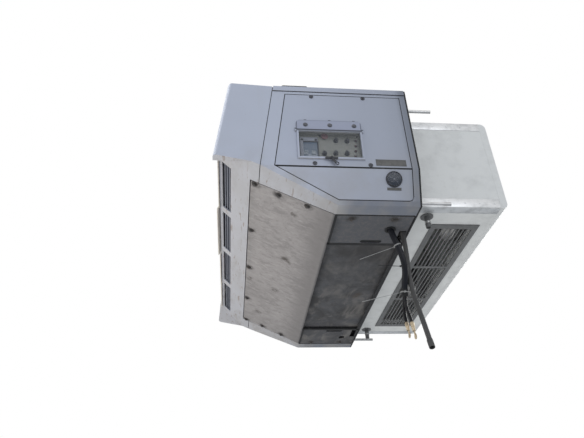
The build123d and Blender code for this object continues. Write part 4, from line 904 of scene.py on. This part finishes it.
def meter_module():
    """Hour meter: thin frame, window, top bracket and two fuse caps."""
    middle = on_plate(-357, -22)
    block_piece("meter_frame", "knob_plastic", middle, ((62, 88, 5), (0, 0, 2.5), 1.2),
                ((4, 66, 4.4), (29, -9.5, 7), 1), ((50, 4, 4.4), (6, 22.5, 7), 1), stands_for="control_meter")
    block_piece("meter_window", "window_pane", middle, ((48, 60, 1), (3.5, -9.5, 5.6), 0.3),
                finish="meter_window")
    block_piece("meter_bracket", "slat_plastic", middle, ((11, 66, 4.4), (-25.5, -9.5, 6), 1),
                ((60, 18, 1), (0, 34, 5.4), 0.4))
    block_piece("meter_label", "case_plastic", middle, ((36, 13, 0.8), (-1, 33, 6.1), 0.3),
                finish="meter_label")
    bolts, caps = bmesh.new(), bmesh.new()
    for side in (-1, 1):
        dome_bolt(bolts, shifted(middle, side * 23.5, 31.5, 5.8), 3.2, 2.8, 4.4)
        cap = shifted(middle, side * 13.5 + 1, -24, 6)
        slab(caps, cap, (16, 17, 2.4), (0, 0, 0.8), 1.8)
        slab(caps, cap, (11, 4, 1.4), (0, 4, 2.4), 0.5)
        slab(caps, cap, (3, 8, 1.4), (0, -3, 2.4), 0.5)
    piece("meter_bolts", bolts, "knob_plastic")
    piece("fuse_caps", caps, "knob_plastic", finish="fuse_glass")


def window_latch():
    """Latch bar and lock barrel with a key, and the split ring that hangs on it."""
    x, z = HALF + 6.3, -87.5
    bm = bmesh.new()
    bar = placed(x, -291, z, LEFT)
    slab(bm, bar, (42, 8.6, 4.6), (0, 0, 2.6), 1.4)
    lathe(bm, bar, [(5.4, 4.6), (5.4, 6.6), (4.6, 7.4), (0, 7.4)], 24)
    slab(bm, bar, (2, 6, 6.4), (0, -2, 9), 0.5)
    key = placed(x + 5, -284, z - 13, (1, 0.1, 0), (0, -0.75, 1))
    slab(bm, key, (9.5, 20, 2), edge=0.8)
    slab(bm, key, (5, 8, 2.6), (0, 9, 0), 0.6)
    on_cover = {"body": "control_flap", "finish": "knob_plastic"}
    piece("window_latch", bm, "latch_steel", **on_cover, stands_for="cover_latch")
    bm = bmesh.new()
    section = [(6.4 + 1.1 * cos(a), 1.1 * sin(a)) for a in [FULL_TURN * k / 8 for k in range(9)]]
    for offset, tilt in ((0, 0.35), (1.3, 0.2)):
        lathe(bm, placed(x + 3.6 + offset, -275.5, z - 22, (1, tilt, 0.25)), section, 40)
    piece("key_ring", bm, "latch_steel", **on_cover)


# Underside

def belly_bolts():
    """Bolts of the sloping panel and of the two end plates."""
    bm = bmesh.new()
    outward = (0, -sin(SLOPE_ANGLE), -cos(SLOPE_ANGLE))
    for x, y in SLOPE_BOLTS:
        hex_bolt(bm, placed(x, y, slope_height(y), outward, REAR), 11, 7, 11)
    for x, y in PLATE_BOLTS:
        hex_bolt(bm, placed(x, y, BELLY_Z, *DOWN), 11, 7, 12)
    piece("belly_bolts", bm, "latch_steel", finish="rusted_bolt")


# Fans and guards

GUARD_RIM, GUARD_GAP = 14, 1.5
CONDENSER_FAN_Y, CONDENSER_FAN_Z = -250, 185.2
EVAPORATOR_FAN_X, EVAPORATOR_FAN_Y = 290, 292


def wire_run(bm, place, start, end, radius):
    """Straight round wire between two points of a face, its ends rounded."""
    first, last = place @ spot(*start), place @ spot(*end)
    run = last - first
    length = run.length / MM
    lathe(bm, placed(*(first / MM), run, (0.31, 0.47, 0.83)),
          [(0, 0), (radius * 0.8, 0), (radius, 0.4), (radius, length - 0.4), (radius * 0.8, length),
           (0, length)], 8)


def wire_guard(name, places, radius, wires, node):
    """Guards of round wires on a pressed rim, with the screws that hold them."""
    bm, screws = bmesh.new(), bmesh.new()
    rim = radius + GUARD_RIM
    for place in places:
        lathe(bm, place, [(radius - 2, -1.2), (radius + 3, -1.5), (rim - 1, -1.5), (rim, -1),
                          (rim - 1.5, 0.6), (radius + 3, 1.5), (radius - 1, 0.9), (radius - 2, -1.2)], 72)
        for index in range(wires):
            across = -radius + (index + 1) * (2 * radius / (wires + 1))
            reach = sqrt((radius + 3) ** 2 - across ** 2)
            wire_run(bm, place, (across, -reach, -0.2), (across, reach, -0.2), 1.3)
        for side in (-radius / 3, radius / 3):
            reach = sqrt((radius + 3) ** 2 - side ** 2)
            wire_run(bm, place, (-reach, side, 0.6), (reach, side, 0.6), 0.9)
        for index in range(8):
            screw = turned(place, FULL_TURN * (index + 0.5) / 8)
            pan_screw(screws, shifted(screw, radius + 8.5, 0, -2.6), 3.6)
    piece(name, bm, "guard_wire", stands_for=node)
    piece(name + "_screws", screws, "zinc_steel")


def fan_blades(bm, place, diameter, hub, deep, count, chord):
    """Twisted blades on a ribbed hub, given by its radius and depth."""
    span = diameter / 2 - hub + 4
    for index in range(count):
        turn = turned(place, FULL_TURN * index / count)
        made = bmesh.ops.create_grid(bm, x_segments=8, y_segments=6, size=0.5, matrix=Matrix.Identity(4))
        verts = made["verts"]
        for row in sorted({round(v.co.x, 4) for v in verts}):
            line = [v for v in verts if round(v.co.x, 4) == row]
            share = row + 0.5
            width = chord * (0.62 + 0.38 * sin(pi * min(1, 0.12 + share * 0.75)))
            for v in line:
                across = v.co.y
                rise = chord * 0.1 * (1 - 4 * across * across)
                v.co = spot(span * row - 0.1 * width * (2 * across) ** 2 * share, width * across, rise)
            pitch = radians(42 - 16 * share)
            bmesh.ops.rotate(bm, verts=line, cent=(0, 0, 0), matrix=Matrix.Rotation(pitch, 3, "X"))
        shape = shifted(turn, (hub - 4 + diameter / 2) / 2, 0, deep / 2)
        bmesh.ops.transform(bm, matrix=shape, verts=verts)
        faces = list({f for v in verts for f in v.link_faces})
        bmesh.ops.solidify(bm, geom=faces, thickness=2.4 * MM)
    lathe(bm, place, [(9.5, 0), (hub - 3, 0), (hub, 2), (hub, deep - 5), (hub - 5, deep), (hub * 0.5, deep),
                      (hub * 0.42, deep - 3), (12, deep - 3), (9, deep), (0, deep)], 48)
    for index in range(6):
        slab(bm, turned(place, FULL_TURN * index / 6), (hub * 0.46, 3, 5), (hub * 0.7, 0, deep - 1), 0.6)


def fan_rotor(name, place, sizes, body, node):
    """Fan on its own body."""
    bm = bmesh.new()
    fan_blades(bm, place, *sizes)
    piece(name, bm, "fan_plastic", body=body, stands_for=node)


# Coils

def finned_coil(name, place, half, height, fins, rows, node):
    """Coil in local axes: x along the tubes, y up the fins, z through the coil."""
    depth = 40
    bm = bmesh.new()
    for index in range(fins):
        x = -half + 6 + (index + 0.5) * (2 * half - 12) / fins
        slab(bm, place, (0.35, height - 8, depth - 8), (x, 0, 0))
    for side in (-1, 1):
        slab(bm, place, (2.6, height - 0.4, depth - 0.4), (side * (half - 1.5), 0, 0), 0.4)
    piece(name + "_fins", bm, "coil_fins", stands_for=node)
    bm = bmesh.new()
    for row in range(rows):
        y = -height / 2 + (row + 1) * (height / (rows + 1))
        for z in (-depth / 4, depth / 4):
            wire_run(bm, place, (-half + 2, y, z), (half - 2, y, z), 4)
    piece(name + "_tubes", bm, "coil_fins", finish="tarnished_copper")


def coils():
    """Condenser coil behind the nose and evaporator coil behind the wall."""
    lean = atan(FRONT_LEAN)
    front = placed(0, -560, 0, (0, -cos(lean), sin(lean)), (0, sin(lean), cos(lean)))
    finned_coil("condenser_core", shifted(front, 0, 69.5), 580.7, 271, 330, 9, "condenser_coil")
    finned_coil("evaporator_core", placed(0, 80, 0, (0, -1, 0)), 549.7, 329.4, 240, 10, "evaporator_coil")


# Engine and compressor

CRADLE_TOP_Z = BELLY_Z + 39
DRIVE_Y = -180


def engine():
    """Small upright diesel with its manifold, pulley, filter and starter."""
    bm = bmesh.new()
    base = placed(-245, DRIVE_Y, CRADLE_TOP_Z, *UP)
    cylinders = (-104, 0, 104)
    slab(bm, base, (300, 190, 60), (0, 0, 34), 8)
    for x in range(-120, 121, 30):
        slab(bm, base, (5, 206, 44), (x, 0, 34), 1.5)
    slab(bm, base, (330, 168, 92), (0, 0, 108), 6)
    for x in cylinders:
        slab(bm, base, (84, 178, 40), (x, 0, 116), 6)
    slab(bm, base, (322, 178, 30), (0, 0, 170), 4)
    slab(bm, base, (300, 120, 46), (0, 8, 208), 14)
    for x in range(-126, 127, 84):
        drum(bm, shifted(base, x, 8), 9, 228, 240, 1.5, 6)
    for x in cylinders:
        slab(bm, base, (40, 34, 34), (x, -100, 170), 7)
    slab(bm, base, (270, 30, 40), (0, -104, 192), 10)
    piece("engine_casting", bm, "engine_iron", stands_for="engine_block")
    bm = bmesh.new()
    shaft = placed(-77, DRIVE_Y, CRADLE_TOP_Z + 62, LEFT)
    lathe(bm, shaft, [(0, 15), (14, 15), (16, 12), (52, 12), (56, 15), (56, 3), (48, 7), (48, 1), (10, 0),
                      (0, 0)], 48)
    drum(bm, placed(-330, -282, CRADLE_TOP_Z + 70, (0, -1, 0)), 34, -26, 16, 5)
    drum(bm, placed(-400, -80, CRADLE_TOP_Z + 55, LEFT), 24, 0, 150, 4)
    piece("engine_fittings", bm, "motor_paint")


def compressor():
    """Finned compressor on its foot, with its bolts."""
    bm = bmesh.new()
    axis = placed(40, DRIVE_Y, CRADLE_TOP_Z + 85, LEFT)
    lathe(bm, axis, [(0, 2), (58, 2), (62, 6), (62, 26), (82, 30), (84, 36), (84, 214), (80, 222), (60, 226),
                     (60, 254), (52, 258), (0, 258)], 48)
    for height in range(52, 197, 16):
        lathe(bm, shifted(axis, 0, 0, height), [(82, 0), (84.8, 1), (84.8, 4), (82, 5)], 48)
    foot = placed(170, DRIVE_Y, CRADLE_TOP_Z, *UP)
    slab(bm, foot, (218, 148, 18), (0, 0, 9.5), 3)
    for side in (-52, 52):
        slab(bm, foot, (180, 14, 40), (0, side, 34), 3)
    piece("compressor_casting", bm, "compressor_metal", stands_for="compressor")
    bm = bmesh.new()
    for x, y in product((-90, 90), (-60, 60)):
        hex_bolt(bm, shifted(foot, x, y, 18.5), 15, 9, 12)
    for index in range(8):
        hex_bolt(bm, shifted(turned(axis, FULL_TURN * index / 8), 70, 0, 222), 9, 7, 8)
    piece("compressor_bolts", bm, "zinc_steel")


# Top and frame

def stud_threads():
    """Rolled thread on the ends of the wall studs."""
    bm = bmesh.new()
    turns, pitch, steps = 38, 1.8, 16
    for x, z in product((-615, 615), (-205, 205)):
        place = placed(x, 40, z, REAR)
        start = [bm.verts.new(place @ spot(r, 0, h)) for r, h in ((5.4, -0.9), (5.98, 0), (5.4, 0.9))]
        edges = [bm.edges.new(pair) for pair in zip(start, start[1:])]
        bmesh.ops.spin(bm, geom=start + edges, cent=place.translation, axis=REAR, angle=FULL_TURN * turns,
                       steps=steps * turns, dvec=Vector((0, pitch * MM / steps, 0)))
    piece("stud_threads", bm, "zinc_steel")


def top_screws():
    """Screws round the top cover, its pressed ribs, and the lifting plates' bolts."""
    bm = bmesh.new()
    top = placed(0, 0, TOP_Z, *UP)
    rim = [*product((-665, 665), (-40, -150, -260, -330)), *product((-460, -230, 230, 460), (-30, -452))]
    for x, y in rim:
        dome_bolt(bm, shifted(top, x, y), 5, 3.2, 8)
    for x, y in product((-669, 669), (-432, -364)):
        pan_screw(bm, shifted(top, x, y, 5), 6)
    piece("top_screws", bm, "zinc_steel")
    ribs = [((34, 300, 2.6), (x, -240, 1.2), 1.2) for x in (-560, -440, -320, 320, 440, 560)]
    block_piece("top_ribs", "cover_paint", top, *ribs)


# Evaporator section

def evaporator_trim():
    """Corner trims, rivets, a small cover and drain clamps of the case."""
    bm, rivets = bmesh.new(), bmesh.new()
    for x, z in product((-1, 1), (-1, 1)):
        slab(bm, placed(x * 575, 153, z * 172, (x, 0, 0)), (300, 34, 1.2), (0, 0, 0.6), 0.5)
        slab(bm, placed(x * 557, 153, z * 190, (0, 0, z), REAR), (34, 300, 1.2), (0, 0, 0.6), 0.5)
        for y in range(20, 286, 53):
            rivet(rivets, placed(x * 576.2, y, z * 172, (x, 0, 0)))
            rivet(rivets, placed(x * 557, y, z * 191.2, (0, 0, z), REAR))
    piece("case_trims", bm, "coil_fins")
    back = placed(0, EVAPORATOR_BACK_Y, 0, REAR)
    for x, z in [*product(range(-555, 556, 111), (-160, 160)), *product((-555, 555), range(-100, 101, 50))]:
        rivet(rivets, shifted(back, x, z))
    piece("case_rivets", rivets, "coil_fins")
    block_piece("access_cover", "case_plastic", back, ((70, 96, 1.2), (0, 0, 0.7), 0.5),
                ((58, 84, 0.8), (0, 0, 1.5), 0.4))
    bm = bmesh.new()
    for x, z in product((-28, 28), (-41, 41)):
        pan_screw(bm, shifted(back, x, z, 1.2), 2.8)
    for x in (-515, 515):
        lathe(bm, placed(x, 60, -212, *DOWN), [(9.6, 0), (10.6, 0.2), (10.6, 7.8), (9.6, 8), (9.6, 0)])
    piece("case_screws", bm, "zinc_steel")


# Stage

def make_stage():
    """Pale floor, white surroundings and soft studio lamps."""
    bm = bmesh.new()
    bmesh.ops.create_grid(bm, x_segments=1, y_segments=1, size=14,
                          matrix=Matrix.Translation(spot(0, 0, FLOOR_Z)))
    floor = linked("floor", meshed("floor", bm))
    floor.data.materials.append(MATERIALS["pale_floor"])
    scene = bpy.context.scene
    scene.view_settings.view_transform = "Standard"
    world = bpy.data.worlds.new("studio")
    scene.world = world
    world.use_nodes = True
    nodes, links = world.node_tree.nodes, world.node_tree.links
    output = nodes["World Output"]
    light, seen = nodes["Background"], nodes.new("ShaderNodeBackground")
    light.inputs["Color"].default_value = (0.86, 0.92, 1, 1)
    light.inputs["Strength"].default_value = 0.5
    seen.inputs["Color"].default_value = (1, 1, 1, 1)
    seen.inputs["Strength"].default_value = 1
    path, either, glossy, mixed = (nodes.new("ShaderNode" + kind) for kind in
                                   ("LightPath", "Math", "Math", "MixShader"))
    either.operation = glossy.operation = "MAXIMUM"
    links.new(path.outputs["Is Camera Ray"], either.inputs[0])
    links.new(path.outputs["Is Glossy Ray"], glossy.inputs[0])
    links.new(path.outputs["Is Transmission Ray"], glossy.inputs[1])
    links.new(glossy.outputs["Value"], either.inputs[1])
    links.new(either.outputs["Value"], mixed.inputs["Fac"])
    links.new(light.outputs["Background"], mixed.inputs[1])
    links.new(seen.outputs["Background"], mixed.inputs[2])
    links.new(mixed.outputs["Shader"], output.inputs["Surface"])
    for name, place, target, size, power, tint in [
            ("sky_lamp", (0.6, -2.4, 2.6), (0, -0.2, 0), 2.4, 56, (0.93, 0.96, 1)),
            ("ground_lamp", (0.3, -2.6, -1.27), (0.3, -2.6, 0), 1.8, 42, (1, 0.96, 0.9)),
            ("end_lamp", (3.2, 0.4, 0.4), (0.6, -0.2, 0), 2, 19, (0.92, 0.95, 1)),
            ("back_lamp", (-2.2, 2.2, 1.4), (0, 0.1, 0), 2.4, 50, (1, 1, 1))]:
        lamp = bpy.data.lights.new(name, "AREA")
        lamp.shape = "DISK"
        lamp.size = size
        lamp.energy = power
        lamp.color = tint
        made = linked(name, lamp)
        made.location = place
        made.rotation_euler = (Vector(target) - Vector(place)).to_track_quat("-Z", "Y").to_euler()
        made.visible_camera = False


def finish_nodes():
    """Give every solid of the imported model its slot's finish."""
    for row in frame["record"]["subparts"]:
        node = frame["nodes"][row["node"]]
        node.data.materials.clear()
        dull = row["node"] == "lifting_plates"
        node.data.materials.append(MATERIALS["frame_paint" if dull else row["material_slot"]])


make_camera()
finish_nodes()
hang_cords()
door_fasteners()
hinge_strip_bolts()
blank_plate("door_plate", end_face(-94, -95), 101, 26, 1.9)
blank_plate("gauge_plate", placed(*tucked(-89.5, 70), TUCK_OUTWARD), 47, 9.5, 1)
panel_seals()
split_seals_and_lip_shadows()
belly_seams_and_shadow_lines()
round_gauge()
legend_bars()
rotary_knobs()
button_and_lamps()
meter_module()
window_latch()
belly_bolts()
wire_guard("condenser_guard", [placed(0, CONDENSER_FAN_Y, TOP_Z + GUARD_GAP, *UP)], 208, 15,
           "condenser_fan_guard")
wire_guard("evaporator_guards", [placed(x, EVAPORATOR_BACK_Y + GUARD_GAP, 0, REAR)
                                 for x in (-EVAPORATOR_FAN_X, EVAPORATOR_FAN_X)],
           133, 11, "evaporator_fan_guards")
fan_rotor("condenser_rotor_blades", placed(0, CONDENSER_FAN_Y, CONDENSER_FAN_Z, *UP), (400, 62, 34, 6, 96),
          "condenser_rotor", "condenser_fan")
for side, x in (("left", EVAPORATOR_FAN_X), ("right", -EVAPORATOR_FAN_X)):
    fan_rotor("evaporator_blades_" + side, placed(x, EVAPORATOR_FAN_Y, 0, REAR), (254, 40, 26, 5, 78),
              "evaporator_rotor_" + side, "evaporator_fan_" + side)
coils()
engine()
compressor()
stud_threads()
top_screws()
evaporator_trim()
make_stage()
